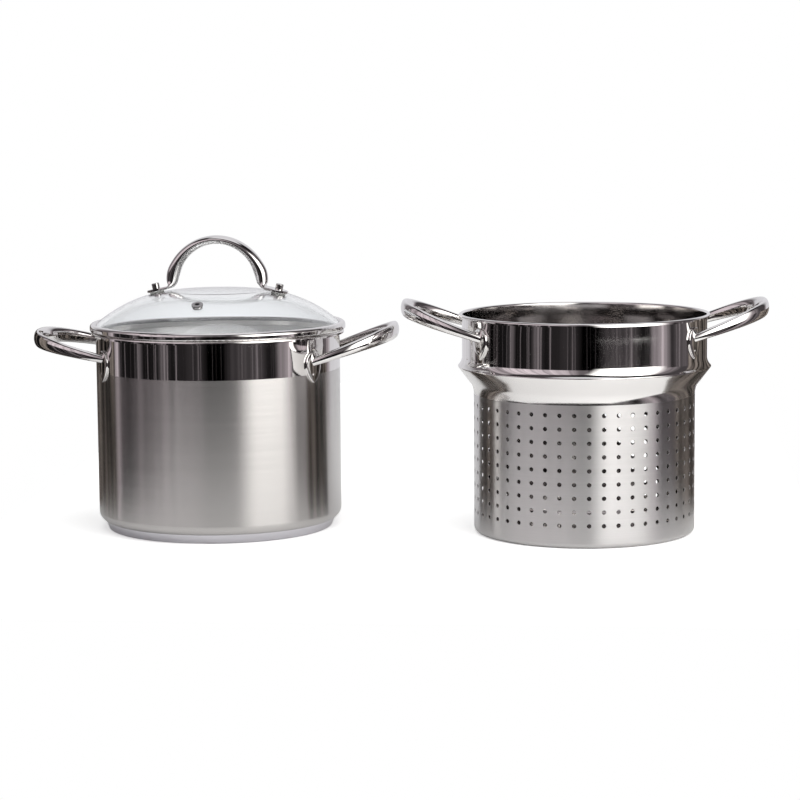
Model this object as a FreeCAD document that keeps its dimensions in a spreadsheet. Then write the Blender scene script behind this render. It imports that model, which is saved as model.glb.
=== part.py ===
"""Pasta pot: a deep pot with a glass lid, and the perforated insert that stands beside it.

Millimetres, +Z up.  The origin is the centre of the pot's base on the table, +X runs along
the pot's two side handles towards the insert.
"""
import FreeCAD, Part
import math
import os
import re
import Sketcher

Vector = FreeCAD.Vector
Rotation = FreeCAD.Rotation

SIZES = {
    # pot
    "pot_inner_radius": 110.0,
    "pot_height": 180.4,
    "shell_sheet": 0.8,
    "shell_corner_radius": 9.0,
    "rim_roll_radius": 2.4,
    "rim_roll_drop": 1.2,
    # clad base
    "base_sheet": 0.6,
    "core_thickness": 6.8,
    "base_foot_inset": 7.5,
    "base_edge_radius": 1.2,
    "base_seam_inset": 5.0,
    # lid
    "lid_turn": -4.4,
    "band_overhang": 1.3,
    "band_sheet": 0.6,
    "band_edge_radius": 1.2,
    "crimp_radius": 3.2,
    "lid_lip_depth": 4.0,
    "lid_lip_clearance": 0.6,
    "glass_thickness": 4.0,
    "glass_edge_gap": 2.6,
    "dome_crown_radius": 534.0,
    "dome_crown_reach": 41.3,
    "dome_knuckle_radius": 118.0,
    # lid handle and its fixings
    "screw_spacing": 113.2,
    "arch_half_width": 42.8,
    "arch_height": 44.1,
    "arch_foot_height": 5.2,
    "arch_foot_width": 13.0,
    "arch_foot_thickness": 9.4,
    "arch_crown_width": 15.0,
    "arch_crown_thickness": 7.8,
    "arch_leg_width": 12.6,
    "arch_leg_thickness": 12.0,
    "tab_width": 17.6,
    "tab_thickness": 2.4,
    "tab_root": 1.6,
    "bend_lead": 2.0,
    "bend_margin": 0.2,
    "screw_diameter": 4.0,
    "screw_clearance": 0.3,
    "glass_bore": 7.0,
    "washer_diameter": 13.0,
    "upper_washer_thickness": 1.0,
    "lower_washer_thickness": 1.0,
    "screw_head_diameter": 8.0,
    "screw_head_height": 2.6,
    "nut_diameter": 7.0,
    "nut_height": 5.2,
    "nut_edge": 0.8,
    "nut_bore_depth": 4.0,
    # steam vent
    "vent_radius": 74.4,
    "vent_angle": -90.0,
    "vent_bore": 4.6,
    "vent_barrel": 6.6,
    "vent_flange": 10.4,
    "vent_flange_height": 1.3,
    "vent_curl": 8.6,
    "vent_curl_height": 0.8,
    "vent_clearance": 0.2,
    # side handles
    "handle_reach": 51.0,
    "left_handle_reach": 54.2,
    "handle_foot_angle": 32.0,
    "handle_slope": 19.0,
    "left_handle_slope": 12.0,
    "handle_squareness": 2.4,
    "handle_root_depth": 3.0,
    "arm_height": 7.0,
    "arm_thickness": 6.2,
    "grip_height": 14.5,
    "grip_thickness": 7.0,
    "pot_handle_drop": 18.4,
    "insert_handle_drop": 12.3,
    "foot_sheet": 2.0,
    "foot_width": 20.0,
    "foot_top": 4.0,
    "foot_shoulder": 7.0,
    "foot_drop": 24.0,
    # insert
    "insert_gap": 11.1,
    "insert_aside": -13.3,
    "insert_turn": 3.8,
    "insert_sheet": 0.7,
    "collar_clearance": 0.7,
    "insert_height": 196.8,
    "lip_roll_radius": 1.8,
    "lip_roll_drop": 1.2,
    "bead_overhang": 0.5,
    "bead_height": 149.6,
    "bead_tip_radius": 1.0,
    "cove_radius": 11.6,
    "shoulder_radius": 16.7,
    "shoulder_angle": 36.9,
    "basket_clearance": 11.0,
    "basket_corner_radius": 5.0,
    # perforation: every second row and column of the real wall
    "hole_diameter": 4.0,
    "hole_columns": 24.0,
    "hole_rows": 5.0,
    "first_row_height": 20.2,
    "row_pitch": 24.0,
    "floor_ring_pitch": 24.0,
    "floor_ring_step": 6.0,
}

# Sizes that follow from the driving ones, written in their names.
RULES = {
    "shell_radius": "(pot_inner_radius + shell_sheet)",
    "shell_floor": "(base_sheet + core_thickness)",
    "corner_x": "(shell_radius - shell_corner_radius)",
    "corner_z": "(shell_floor + shell_corner_radius)",
    "rim_z": "(pot_height - rim_roll_radius)",
    "rim_radius": "(pot_inner_radius + 2 * rim_roll_radius)",
    "rim_centre": "(pot_inner_radius + rim_roll_radius)",
    "base_foot_radius": "(pot_inner_radius - base_foot_inset)",
    "base_seam_radius": "(pot_inner_radius - base_seam_inset)",
    "foot_centre": "(base_foot_radius - base_edge_radius)",
    "seam_inner": "(base_seam_radius - base_sheet)",
    "seam_z": "(corner_z - sqrt(shell_corner_radius^2 - (base_seam_radius - corner_x)^2))",
    "seam_inner_z": "(corner_z - sqrt(shell_corner_radius^2 - (seam_inner - corner_x)^2))",
    "band_radius": "(rim_radius + band_overhang)",
    "band_inner": "(band_radius - band_sheet)",
    "band_top": "(pot_height + band_sheet)",
    "band_edge_x": "(band_radius - band_edge_radius)",
    "band_edge_z": "(pot_height + band_edge_radius)",
    "lid_lip_radius": "(collar_radius - insert_sheet - lid_lip_clearance)",
    "glass_radius": "(band_inner - glass_edge_gap)",
    "crown_slope": "(asin(dome_crown_reach / dome_crown_radius))",
    "knuckle_x": "(dome_crown_reach - dome_knuckle_radius * sin(crown_slope))",
    "edge_slope": "(asin((glass_radius - knuckle_x) / dome_knuckle_radius))",
    "inner_knuckle": "(dome_knuckle_radius - glass_thickness)",
    "inner_crown": "(dome_crown_radius - glass_thickness)",
    "knuckle_z": "(band_top - inner_knuckle * cos(edge_slope))",
    "crown_z": "(knuckle_z - (dome_crown_radius - dome_knuckle_radius) * cos(crown_slope))",
    "dome_top": "(crown_z + dome_crown_radius)",
    "crimp_inner": "(crimp_radius - band_sheet)",
    "crimp_x": "(band_radius - crimp_radius)",
    "crimp_slope": "(asin((crimp_x - knuckle_x)"
                   " / sqrt(dome_knuckle_radius^2 + crimp_inner^2))"
                   " - atan(crimp_inner / dome_knuckle_radius))",
    "crimp_end_x": "(crimp_x - crimp_inner * cos(crimp_slope))",
    "crimp_end_z": "(knuckle_z + dome_knuckle_radius * cos(crimp_slope))",
    "crimp_z": "(crimp_end_z - crimp_inner * sin(crimp_slope))",
    "screw_x": "(screw_spacing / 2)",
    "screw_slope": "(asin((screw_x - knuckle_x) / dome_knuckle_radius))",
    "screw_z": "(knuckle_z + dome_knuckle_radius * cos(screw_slope))",
    "screw_seat": "(-glass_thickness - lower_washer_thickness)",
    "tab_middle": "(upper_washer_thickness + tab_thickness / 2)",
    "tab_top": "(upper_washer_thickness + tab_thickness)",
    "foot_turn": "(asin(arch_foot_height / arch_height))",
    "foot_x": "(arch_half_width * cos(foot_turn))",
    "bend_x": "(foot_x + arch_foot_height)",
    "bend_z": "((tab_middle + arch_foot_height + (screw_x - bend_x) * sin(screw_slope))"
              " / cos(screw_slope) + screw_z)",
    "arch_z": "(bend_z - arch_foot_height)",
    "tab_run": "((screw_x - bend_x) * cos(screw_slope)"
               " + (bend_z - screw_z) * sin(screw_slope))",
    "vent_slope": "(asin((vent_radius - knuckle_x) / dome_knuckle_radius))",
    "vent_z": "(knuckle_z + dome_knuckle_radius * cos(vent_slope))",
    "insert_along": "(shell_radius + collar_radius + 2 * handle_reach + insert_gap)",
    "collar_radius": "(pot_inner_radius - collar_clearance)",
    "collar_inner": "(collar_radius - insert_sheet)",
    "lip_z": "(insert_height - lip_roll_radius)",
    "lip_centre": "(collar_inner + lip_roll_radius)",
    "lip_radius": "(collar_inner + 2 * lip_roll_radius)",
    "bead_radius": "(rim_centre + bead_overhang)",
    "basket_radius": "(pot_inner_radius - basket_clearance)",
    "tip_x": "(bead_radius - bead_tip_radius)",
    "tip_inner": "(bead_tip_radius - insert_sheet)",
    "cove_x": "(collar_radius + cove_radius)",
    "cove_turn": "(acos((cove_x - tip_x) / (cove_radius + bead_tip_radius)))",
    "cove_z": "(bead_height + (cove_radius + bead_tip_radius) * sin(cove_turn))",
    "slope": "(shoulder_angle * 1 deg)",
    "shoulder_x": "(basket_radius + shoulder_radius)",
    "shoulder_end_x": "(shoulder_x - shoulder_radius * cos(slope))",
    "slope_end_x": "(tip_x + bead_tip_radius * cos(slope))",
    "slope_end_z": "(bead_height - bead_tip_radius * sin(slope))",
    "shoulder_z": "(slope_end_z - (slope_end_x - shoulder_end_x) / tan(slope)"
                  " - shoulder_radius * sin(slope))",
    "shoulder_outer": "(shoulder_radius + insert_sheet)",
    "basket_corner_x": "(basket_radius - basket_corner_radius)",
    "basket_inner": "(basket_radius - insert_sheet)",
}

# Angle round the bend above the tab, and the share of the foot's section there.
BEND_STEPS = [(30, 0.1), (55, 0.45), (85, 1.0)]
# Angle round the arch from the left foot, and the share of the crown's section there.
ARCH_STEPS = [(18, 0.0), (32, 0.35), (47, 0.65), (68, 0.9), (90, 1.0),
              (112, 0.9), (133, 0.65), (148, 0.35), (162, 0.0)]
# Angles of a side handle's sections, from its root to the middle of its grip.
HANDLE_STEPS = (0, 15, 30, 42, 54, 66, 78)
FLOOR_RINGS = (1, 2, 3)
# Headings of the two screws of the lid's handle, in degrees.
SIDES = {"left": 180, "right": 0}

doc = FreeCAD.newDocument("PastaPot")
sheet = doc.addObject("Spreadsheet::Sheet", "Sizes")
for number, (alias, size) in enumerate(SIZES.items(), start=1):
    sheet.set("A%d" % number, alias)
    sheet.set("B%d" % number, str(size))
    sheet.setAlias("B%d" % number, alias)
doc.recompute()


def formula(text):
    """An expression over the sheet's cells, from a text that uses plain size names."""
    def swap(match):
        word = match.group(0)
        if word in RULES:
            return formula(RULES[word])
        if word in SIZES:
            return "Sizes." + word
        return word
    return re.sub(r"[a-z_]+", swap, str(text))


def value(text):
    """The present value of a formula, as a number."""
    return float(sheet.evalExpression("(%s) / 1" % formula(text)))


def bind(thing, **properties):
    """Tie properties of an object to formulas."""
    for name, text in properties.items():
        thing.setExpression(name.replace("__", "."), formula(text))


def place(thing, x="0", y="0", z="0", turns="rotation(vector(0; 0; 1); 0)"):
    """Bind a whole placement to formulas."""
    bind(thing, Placement="placement(vector(%s; %s; %s); %s)" % (x, y, z, turns))


def about_z(angle):
    return "rotation(vector(0; 0; 1); %s)" % angle


def about_y(angle):
    return "rotation(vector(0; 1; 0); %s)" % angle


# Sketches

def new_sketch(body, name, role):
    """A sketch on one of a body's own origin planes, or a free one in the document."""
    if body is None:
        return doc.addObject("Sketcher::SketchObject", name)
    sketch = body.newObject("Sketcher::SketchObject", name)
    plane = next(f for f in body.Origin.OriginFeatures if f.Role == role)
    sketch.AttachmentSupport = [(plane, "")]
    sketch.MapMode = "FlatFace"
    return sketch


def tie(sketch, kind, edge, point, text):
    """Fix one coordinate of a sketch point to a formula, measured from the origin."""
    number = sketch.addConstraint(
        Sketcher.Constraint(kind, -1, 1, edge, point, value(text)))
    sketch.setExpression("Constraints[%d]" % number, formula(text))


def direction(arm):
    """The angle of an arm from the X axis, in radians."""
    return math.atan2(arm.y, arm.x)


def arc_edge(start, end, centre, turn):
    """An arc from start to end, anticlockwise where turn is 1, and its two ends in order."""
    first, last = (start, end) if turn > 0 else (end, start)
    first_angle = direction(first - centre)
    last_angle = direction(last - centre)
    if last_angle <= first_angle:
        last_angle += 2 * math.pi
    circle = Part.Circle(centre, Vector(0, 0, 1), (first - centre).Length)
    arc = Part.ArcOfCircle(circle, first_angle, last_angle)
    return arc, (1, 2) if turn > 0 else (2, 1)


def outline(body, name, steps, role="XZ_Plane"):
    """A closed sketch.  Each step is a corner: (x, y) is reached by a straight edge, and
    (x, y, centre_x, centre_y, turn) by an arc, anticlockwise where turn is 1."""
    sketch = new_sketch(body, name, role)
    corners = [Vector(value(step[0]), value(step[1]), 0) for step in steps]
    ends = []
    for number, step in enumerate(steps):
        start = corners[number - 1]
        end = corners[number]
        if len(step) == 2:
            sketch.addGeometry(Part.LineSegment(start, end))
            ends.append((1, 2))
            continue
        centre = Vector(value(step[2]), value(step[3]), 0)
        arc, order = arc_edge(start, end, centre, step[4])
        sketch.addGeometry(arc)
        ends.append(order)
    following = list(range(1, len(steps))) + [0]
    for number, after in enumerate(following):
        sketch.addConstraint(Sketcher.Constraint(
            "Coincident", number, ends[number][1], after, ends[after][0]))
    for number, step in enumerate(steps):
        tie(sketch, "DistanceX", number, ends[number][1], step[0])
        tie(sketch, "DistanceY", number, ends[number][1], step[1])
        if len(step) == 2:
            continue
        chord = corners[number] - corners[number - 1]
        if abs(chord.x) > abs(chord.y):
            tie(sketch, "DistanceY", number, 3, step[3])
        else:
            tie(sketch, "DistanceX", number, 3, step[2])
    return sketch


def circles(body, name, places, diameter, role="XY_Plane"):
    """A sketch of equal circles at the given (x, y) places."""
    sketch = new_sketch(body, name, role)
    for number, (x, y) in enumerate(places):
        centre = Vector(value(x), value(y), 0)
        sketch.addGeometry(Part.Circle(centre, Vector(0, 0, 1), value(diameter) / 2))
        tie(sketch, "DistanceX", number, 3, x)
        tie(sketch, "DistanceY", number, 3, y)
        rule = sketch.addConstraint(
            Sketcher.Constraint("Diameter", number, value(diameter)))
        sketch.setExpression("Constraints[%d]" % rule, formula(diameter))
    return sketch


# Solids

def turned(name, steps):
    """A body turned about the vertical axis from its half section."""
    body = doc.addObject("PartDesign::Body", name)
    section = outline(body, name + "_section", steps)
    turn = body.newObject("PartDesign::Revolution", name + "_turn")
    turn.Profile = section
    turn.ReferenceAxis = (section, ["V_Axis"])
    turn.Angle = 360
    body.Tip = turn
    return body


def cylinder(name, diameter, height):
    rod = doc.addObject("Part::Cylinder", name)
    bind(rod, Radius="(%s) / 2" % diameter, Height=height)
    return rod


def subtract(name, base, tool):
    cut = doc.addObject("Part::Cut", name)
    cut.Base = base
    cut.Tool = tool
    return cut


def unite(name, things):
    union = doc.addObject("Part::MultiFuse", name)
    union.Shapes = things
    return union


def overlap(name, things):
    common = doc.addObject("Part::MultiCommon", name)
    common.Shapes = things
    return common


def station(name, x, y, z, turns, major, minor):
    """An elliptical section of a bar, at a point of the bar's centreline."""
    ring = doc.addObject("Part::Ellipse", name)
    bind(ring, MajorRadius="(%s) / 2" % major, MinorRadius="(%s) / 2" % minor)
    place(ring, x, y, z, turns)
    return ring


def bar(name, stations):
    loft = doc.addObject("Part::Loft", name)
    loft.Sections = stations
    loft.Solid = True
    loft.Ruled = False
    return loft


# Pot

def make_pot_shell():
    """Drawn steel shell: flat floor, corner, straight wall and a rolled rim."""
    return turned("pot_shell", [
        ("0", "shell_floor"),
        ("corner_x", "shell_floor"),
        ("shell_radius", "corner_z", "corner_x", "corner_z", 1),
        ("shell_radius", "rim_z"),
        ("rim_radius - shell_sheet", "rim_z", "rim_centre", "rim_z", -1),
        ("rim_radius - shell_sheet", "rim_z - rim_roll_drop"),
        ("rim_radius", "rim_z - rim_roll_drop"),
        ("rim_radius", "rim_z"),
        ("pot_inner_radius", "rim_z", "rim_centre", "rim_z", 1),
        ("pot_inner_radius", "corner_z"),
        ("corner_x", "shell_floor + shell_sheet", "corner_x", "corner_z", -1),
        ("0", "shell_floor + shell_sheet"),
    ])


def make_pot_base_core():
    """Aluminium disc that fills the space between the shell and the base cap."""
    return turned("pot_base_core", [
        ("0", "base_sheet"),
        ("foot_centre", "base_sheet"),
        ("base_foot_radius - base_sheet", "base_edge_radius",
         "foot_centre", "base_edge_radius", 1),
        ("seam_inner", "seam_inner_z"),
        ("corner_x", "shell_floor", "corner_x", "corner_z", -1),
        ("0", "shell_floor"),
    ])


def make_pot_base_cap():
    """Thin steel cap under the core, closed against the shell's corner."""
    return turned("pot_base_cap", [
        ("0", "0"),
        ("foot_centre", "0"),
        ("base_foot_radius", "base_edge_radius", "foot_centre", "base_edge_radius", 1),
        ("base_seam_radius", "seam_z"),
        ("seam_inner", "seam_inner_z", "corner_x", "corner_z", -1),
        ("base_foot_radius - base_sheet", "base_edge_radius"),
        ("foot_centre", "base_sheet", "foot_centre", "base_edge_radius", -1),
        ("0", "base_sheet"),
    ])


# Lid

DOME_OUTER = [
    ("glass_radius", "knuckle_z + dome_knuckle_radius * cos(edge_slope)"),
    ("dome_crown_reach", "knuckle_z + dome_knuckle_radius * cos(crown_slope)",
     "knuckle_x", "knuckle_z", 1),
    ("0", "dome_top", "0", "crown_z", 1),
]
DOME_INNER = [
    ("0", "dome_top - glass_thickness"),
    ("inner_crown * sin(crown_slope)", "crown_z + inner_crown * cos(crown_slope)",
     "0", "crown_z", -1),
    ("knuckle_x + inner_knuckle * sin(edge_slope)", "band_top", "knuckle_x", "knuckle_z", -1),
]


def turn_with_lid(thing):
    place(thing, turns=about_z("lid_turn"))


def square_to_glass(thing, side, height, turn="0"):
    """Place a thing on a screw's axis, a height above the outer face of the glass."""
    heading = "(%s + %d)" % (turn, SIDES[side])
    reach = "(screw_x + (%s) * sin(screw_slope))" % height
    place(thing, "%s * cos(%s * 1 deg)" % (reach, heading),
          "%s * sin(%s * 1 deg)" % (reach, heading),
          "screw_z + (%s) * cos(screw_slope)" % height,
          "%s * %s" % (about_z(heading), about_y("screw_slope")))


def make_lid_glass(vent_hole):
    """Tempered dome with two screw holes and a hole for the steam vent."""
    blank = turned("lid_glass_blank", DOME_OUTER + DOME_INNER)
    holes = [vent_hole]
    for side in SIDES:
        hole = cylinder("lid_glass_hole_" + side, "glass_bore", "3 * glass_thickness")
        square_to_glass(hole, side, "-2 * glass_thickness")
        holes.append(hole)
    return subtract("lid_glass", blank, unite("lid_glass_holes", holes))


def make_lid_rim_band():
    """Steel band crimped round the edge of the glass, with the lip that centres the lid."""
    return turned("lid_rim_band", [
        ("lid_lip_radius - band_sheet", "pot_height - lid_lip_depth"),
        ("lid_lip_radius", "pot_height - lid_lip_depth"),
        ("lid_lip_radius", "pot_height"),
        ("band_edge_x", "pot_height"),
        ("band_radius", "band_edge_z", "band_edge_x", "band_edge_z", 1),
        ("band_radius", "crimp_z"),
        ("crimp_x - crimp_radius * cos(crimp_slope)",
         "crimp_z + crimp_radius * sin(crimp_slope)", "crimp_x", "crimp_z", 1),
        ("crimp_end_x", "crimp_end_z"),
        ("band_inner", "crimp_z", "crimp_x", "crimp_z", -1),
        ("band_inner", "band_edge_z"),
        ("band_edge_x", "band_top", "band_edge_x", "band_edge_z", -1),
        ("lid_lip_radius - band_sheet", "band_top"),
    ])


def make_washer_ring(name, side, bottom, height):
    disc = cylinder(name + "_disc", "washer_diameter", height)
    bore = cylinder(name + "_bore", "screw_diameter", height)
    for rod in (disc, bore):
        square_to_glass(rod, side, bottom)
    return subtract(name + "_ring", disc, bore)


def make_upper_washer(side, under_dome):
    """Soft washer between the glass and the handle's tab, shaped to the glass below it."""
    name = "lid_upper_washer_" + side
    ring = make_washer_ring(name, side, "-glass_thickness / 2",
                            "glass_thickness / 2 + upper_washer_thickness")
    return subtract(name, ring, under_dome)


def make_lower_washer(side, inside_dome):
    """Soft washer between the glass and the screw's head, shaped to the glass above it."""
    name = "lid_lower_washer_" + side
    ring = make_washer_ring(name, side, "screw_seat",
                            "glass_thickness / 2 + lower_washer_thickness")
    return overlap(name, [ring, inside_dome])


def make_lid_screw(side):
    """Screw with a flat round head, from inside the lid up into the handle's nut."""
    screw = turned("lid_screw_" + side, [
        ("0", "screw_seat - screw_head_height"),
        ("screw_head_diameter / 2", "screw_seat - screw_head_height"),
        ("screw_head_diameter / 2", "screw_seat"),
        ("screw_diameter / 2", "screw_seat"),
        ("screw_diameter / 2", "tab_top + nut_bore_depth"),
        ("0", "tab_top + nut_bore_depth"),
    ])
    square_to_glass(screw, side, "0", "lid_turn")
    return screw


def make_lid_nut(side):
    """Round closed nut on the handle's tab."""
    nut = turned("lid_barrel_nut_" + side, [
        ("screw_diameter / 2", "tab_top"),
        ("nut_diameter / 2", "tab_top"),
        ("nut_diameter / 2", "tab_top + nut_height - nut_edge"),
        ("nut_diameter / 2 - nut_edge", "tab_top + nut_height",
         "nut_diameter / 2 - nut_edge", "tab_top + nut_height - nut_edge", 1),
        ("0", "tab_top + nut_height"),
        ("0", "tab_top + nut_bore_depth"),
        ("screw_diameter / 2", "tab_top + nut_bore_depth"),
    ])
    square_to_glass(nut, side, "0", "lid_turn")
    return nut


def make_lid_handle():
    """Arched bar whose legs flatten and bend outward into two screwed tabs."""
    crosswise = "rotation(vector(1; 1; 1); 120)"
    rings = []

    def add(x, z, rise, width, thickness):
        name = "lid_handle_section_%02d" % len(rings)
        turns = "%s * %s" % (about_y("-(%s)" % rise), crosswise)
        rings.append(station(name, x, "0", z, turns, width, thickness))

    def add_bend(side, order):
        wide = "tab_width - 2 * bend_margin"
        thin = "tab_thickness - bend_margin"
        bend = []
        for lead in (2, 1, 0):
            bend.append((
                "bend_x - arch_foot_height * sin(screw_slope)"
                " + %d * bend_lead * cos(screw_slope)" % lead,
                "bend_z - arch_foot_height * cos(screw_slope)"
                " - %d * bend_lead * sin(screw_slope)" % lead,
                "screw_slope", wide, thin))
        for rise, share in BEND_STEPS:
            bend.append((
                "bend_x - arch_foot_height * sin(%s deg)" % rise,
                "bend_z - arch_foot_height * cos(%s deg)" % rise, str(rise),
                "%s + (arch_foot_width - (%s)) * %s" % (wide, wide, share),
                "%s + (arch_foot_thickness - (%s)) * %s" % (thin, thin, share)))
        for x, z, rise, width, thickness in bend[::order]:
            add("%d * (%s)" % (side, x), z, "%d * %s" % (-side, rise), width, thickness)

    add_bend(-1, 1)
    for step in ARCH_STEPS:
        angle, share = step
        x = "-arch_half_width * cos(%s deg)" % angle
        z = "arch_z + arch_height * sin(%s deg)" % angle
        rise = ("atan2(arch_height * cos(%s deg); arch_half_width * sin(%s deg))"
                % (angle, angle))
        width = "arch_leg_width + (arch_crown_width - arch_leg_width) * %s" % share
        thickness = ("arch_leg_thickness"
                     " + (arch_crown_thickness - arch_leg_thickness) * %s" % share)
        add(x, z, rise, width, thickness)
    add_bend(1, -1)
    arch = bar("lid_handle_arch", rings)
    blank = unite("lid_handle_blank", [arch] + [make_tab(side) for side in SIDES])
    bores = []
    for side in SIDES:
        bore = cylinder("lid_handle_bore_" + side, "screw_diameter + screw_clearance",
                        "3 * tab_thickness")
        square_to_glass(bore, side, "upper_washer_thickness - tab_thickness")
        bores.append(bore)
    return subtract("lid_handle", blank, unite("lid_handle_bores", bores))


def make_tab(side):
    """Flat tab with a round end round the screw, from the bend outward."""
    name = "lid_handle_tab_" + side
    body = doc.addObject("PartDesign::Body", name)
    near = "-(tab_run + tab_root)"
    half = "tab_width / 2"
    plan = outline(body, name + "_plan", [
        (near, "-" + half),
        ("0", "-" + half),
        ("0", half, "0", "0", 1),
        (near, half),
    ], "XY_Plane")
    pad = body.newObject("PartDesign::Pad", name + "_pad")
    pad.Profile = plan
    bind(pad, Length="tab_thickness")
    body.Tip = pad
    square_to_glass(body, side, "upper_washer_thickness")
    return body


def make_vent_hole(turns, x, z):
    hole = doc.addObject("Part::Cylinder", "steam_vent_hole")
    bind(hole, Radius="vent_barrel / 2 + vent_clearance", Height="3 * glass_thickness")
    lower(hole, turns, x, z, "2 * glass_thickness")
    return hole


def lower(thing, turns, x, z, depth):
    """Place a thing on the vent's axis, a depth below the outer face of the glass."""
    slope = "vent_slope"
    reach = "(%s - (%s) * sin(%s))" % (x, depth, slope)
    place(thing, reach + " * cos(vent_angle * 1 deg)", reach + " * sin(vent_angle * 1 deg)",
          "%s - (%s) * cos(%s)" % (z, depth, slope), turns)


def make_steam_vent(under_dome, inside_dome, turns, x, z):
    """Eyelet through the glass, square to its face, with a flange outside and a curl inside."""
    sizes = [
        ("flange", "vent_flange", "glass_thickness / 2",
         "glass_thickness / 2 + vent_flange_height"),
        ("barrel", "vent_barrel", "glass_thickness + vent_curl_height",
         "glass_thickness + vent_curl_height + vent_flange_height"),
        ("curl", "vent_curl", "glass_thickness + vent_curl_height",
         "glass_thickness / 2 + vent_curl_height"),
        ("bore", "vent_bore", "2 * glass_thickness", "3 * glass_thickness"),
    ]
    rods = {}
    for name, diameter, depth, length in sizes:
        rods[name] = doc.addObject("Part::Cylinder", "steam_vent_" + name)
        bind(rods[name], Radius=diameter + " / 2", Height=length)
        lower(rods[name], turns, x, z, depth)
    flange = subtract("steam_vent_flange_seat", rods["flange"], under_dome)
    curl = overlap("steam_vent_curl_seat", [rods["curl"], inside_dome])
    blank = unite("steam_vent_blank", [flange, rods["barrel"], curl])
    return subtract("steam_vent", blank, rods["bore"])


# Side handles


def make_side_handle(name, radius, root_z, along, aside, turn, bend="handle"):
    """Bent oval bar that leaves the wall at a rising slope, welded on through two petals."""
    climb = "tan(%s_slope * 1 deg)" % bend
    root = "(%s * cos(handle_foot_angle * 1 deg) - handle_root_depth)" % radius
    reach = "(%s + %s_reach - %s)" % (radius, bend, root)
    half = "(%s * sin(handle_foot_angle * 1 deg))" % radius
    on_edge = "rotation(vector(1; 0; 1); 180)"
    rings = []

    def add(angle, side):
        power = "2 / handle_squareness"
        x = "%s + %s * sin(%s deg)^(%s)" % (root, reach, angle, power)
        y = "%s * %s * abs(cos(%s deg))^(%s)" % (side, half, angle, power)
        z = "%s + %s * (%s - %s)" % (root_z, climb, x, radius)
        if angle == 90:
            yaw = "90 deg"
        else:
            yaw = "atan(%s / %s * tan(%s deg)^(2 - %s))" % (half, reach, angle, power)
        heading = "-" + yaw if side > 0 else yaw + " - 180 deg"
        rise = "atan(%s * cos(%s))" % (climb, heading)
        turns = "%s * %s * %s" % (about_z(heading), about_y("-" + rise), on_edge)
        height = "arm_height + (grip_height - arm_height) * sin(%s deg)" % angle
        thickness = "arm_thickness + (grip_thickness - arm_thickness) * sin(%s deg)" % angle
        rings.append(station("%s_section_%02d" % (name, len(rings)), x, y, z, turns,
                             height, thickness))

    for angle in HANDLE_STEPS:
        add(angle, 1)
    add(90, 1)
    for angle in HANDLE_STEPS[::-1]:
        add(angle, -1)
    pieces = [bar(name + "_bar", rings)]
    outer = cylinder(name + "_foot_limit", "2 * (%s + foot_sheet)" % radius, "2 * " + root_z)
    for label, side in (("near", -1), ("far", 1)):
        petal = make_petal("%s_petal_%s" % (name, label), root_z, radius, side)
        pieces.append(overlap("%s_foot_%s" % (name, label), [petal, outer]))
    blank = unite(name + "_blank", pieces)
    wall = cylinder(name + "_wall", "2 * " + radius, "2 * " + root_z)
    handle = subtract(name, blank, wall)
    place(handle, along, aside, "0", about_z(turn))
    return handle


def make_petal(name, root_z, radius, side):
    """Welded foot: a plate with a round top and a pointed tip below the bar."""
    half = "foot_width / 2"
    drop = "(foot_drop - foot_shoulder)"
    arc = "(((foot_width / 2)^2 + %s^2) / foot_width)" % drop
    shoulder = "-foot_shoulder"
    plan = outline(None, name + "_plan", [
        ("-" + half, shoulder),
        ("0", "-foot_drop", "%s - %s" % (arc, half), shoulder, 1),
        (half, shoulder, "%s - %s" % (half, arc), shoulder, 1),
        (half, "foot_top - foot_width / 2"),
        ("-" + half, "foot_top - foot_width / 2", "0", "foot_top - foot_width / 2", 1),
    ])
    place(plan, z=root_z, turns="%s * rotation(vector(1; 1; 1); 120)"
          % about_z("%s * handle_foot_angle" % side))
    prism = doc.addObject("Part::Extrusion", name)
    prism.Base = plan
    prism.DirMode = "Normal"
    prism.Solid = True
    bind(prism, LengthFwd="%s + 2 * foot_sheet" % radius)
    return prism


# Insert

def make_insert_body():
    """Perforated basket under a plain collar that rests in the pot's rim."""
    body = turned("insert_body", [
        ("0", "0"),
        ("basket_corner_x", "0"),
        ("basket_radius", "basket_corner_radius",
         "basket_corner_x", "basket_corner_radius", 1),
        ("basket_radius", "shoulder_z"),
        ("shoulder_end_x", "shoulder_z + shoulder_radius * sin(slope)",
         "shoulder_x", "shoulder_z", -1),
        ("slope_end_x", "slope_end_z"),
        ("tip_x + bead_tip_radius * cos(cove_turn)",
         "bead_height + bead_tip_radius * sin(cove_turn)", "tip_x", "bead_height", 1),
        ("collar_radius", "cove_z", "cove_x", "cove_z", -1),
        ("collar_radius", "lip_z"),
        ("lip_radius - insert_sheet", "lip_z", "lip_centre", "lip_z", -1),
        ("lip_radius - insert_sheet", "lip_z - lip_roll_drop"),
        ("lip_radius", "lip_z - lip_roll_drop"),
        ("lip_radius", "lip_z"),
        ("collar_inner", "lip_z", "lip_centre", "lip_z", 1),
        ("collar_inner", "cove_z"),
        ("tip_x + tip_inner * cos(cove_turn)", "bead_height + tip_inner * sin(cove_turn)",
         "cove_x", "cove_z", 1),
        ("tip_x + tip_inner * cos(slope)", "bead_height - tip_inner * sin(slope)",
         "tip_x", "bead_height", -1),
        ("shoulder_x - shoulder_outer * cos(slope)",
         "shoulder_z + shoulder_outer * sin(slope)"),
        ("basket_inner", "shoulder_z", "shoulder_x", "shoulder_z", 1),
        ("basket_inner", "basket_corner_radius"),
        ("basket_corner_x", "insert_sheet", "basket_corner_x", "basket_corner_radius", -1),
        ("0", "insert_sheet"),
    ])
    place(body, "insert_along", "insert_aside", "0", about_z("insert_turn"))
    return body


def origin_axis(body, role):
    return (next(f for f in body.Origin.OriginFeatures if f.Role == role), [""])


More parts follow.
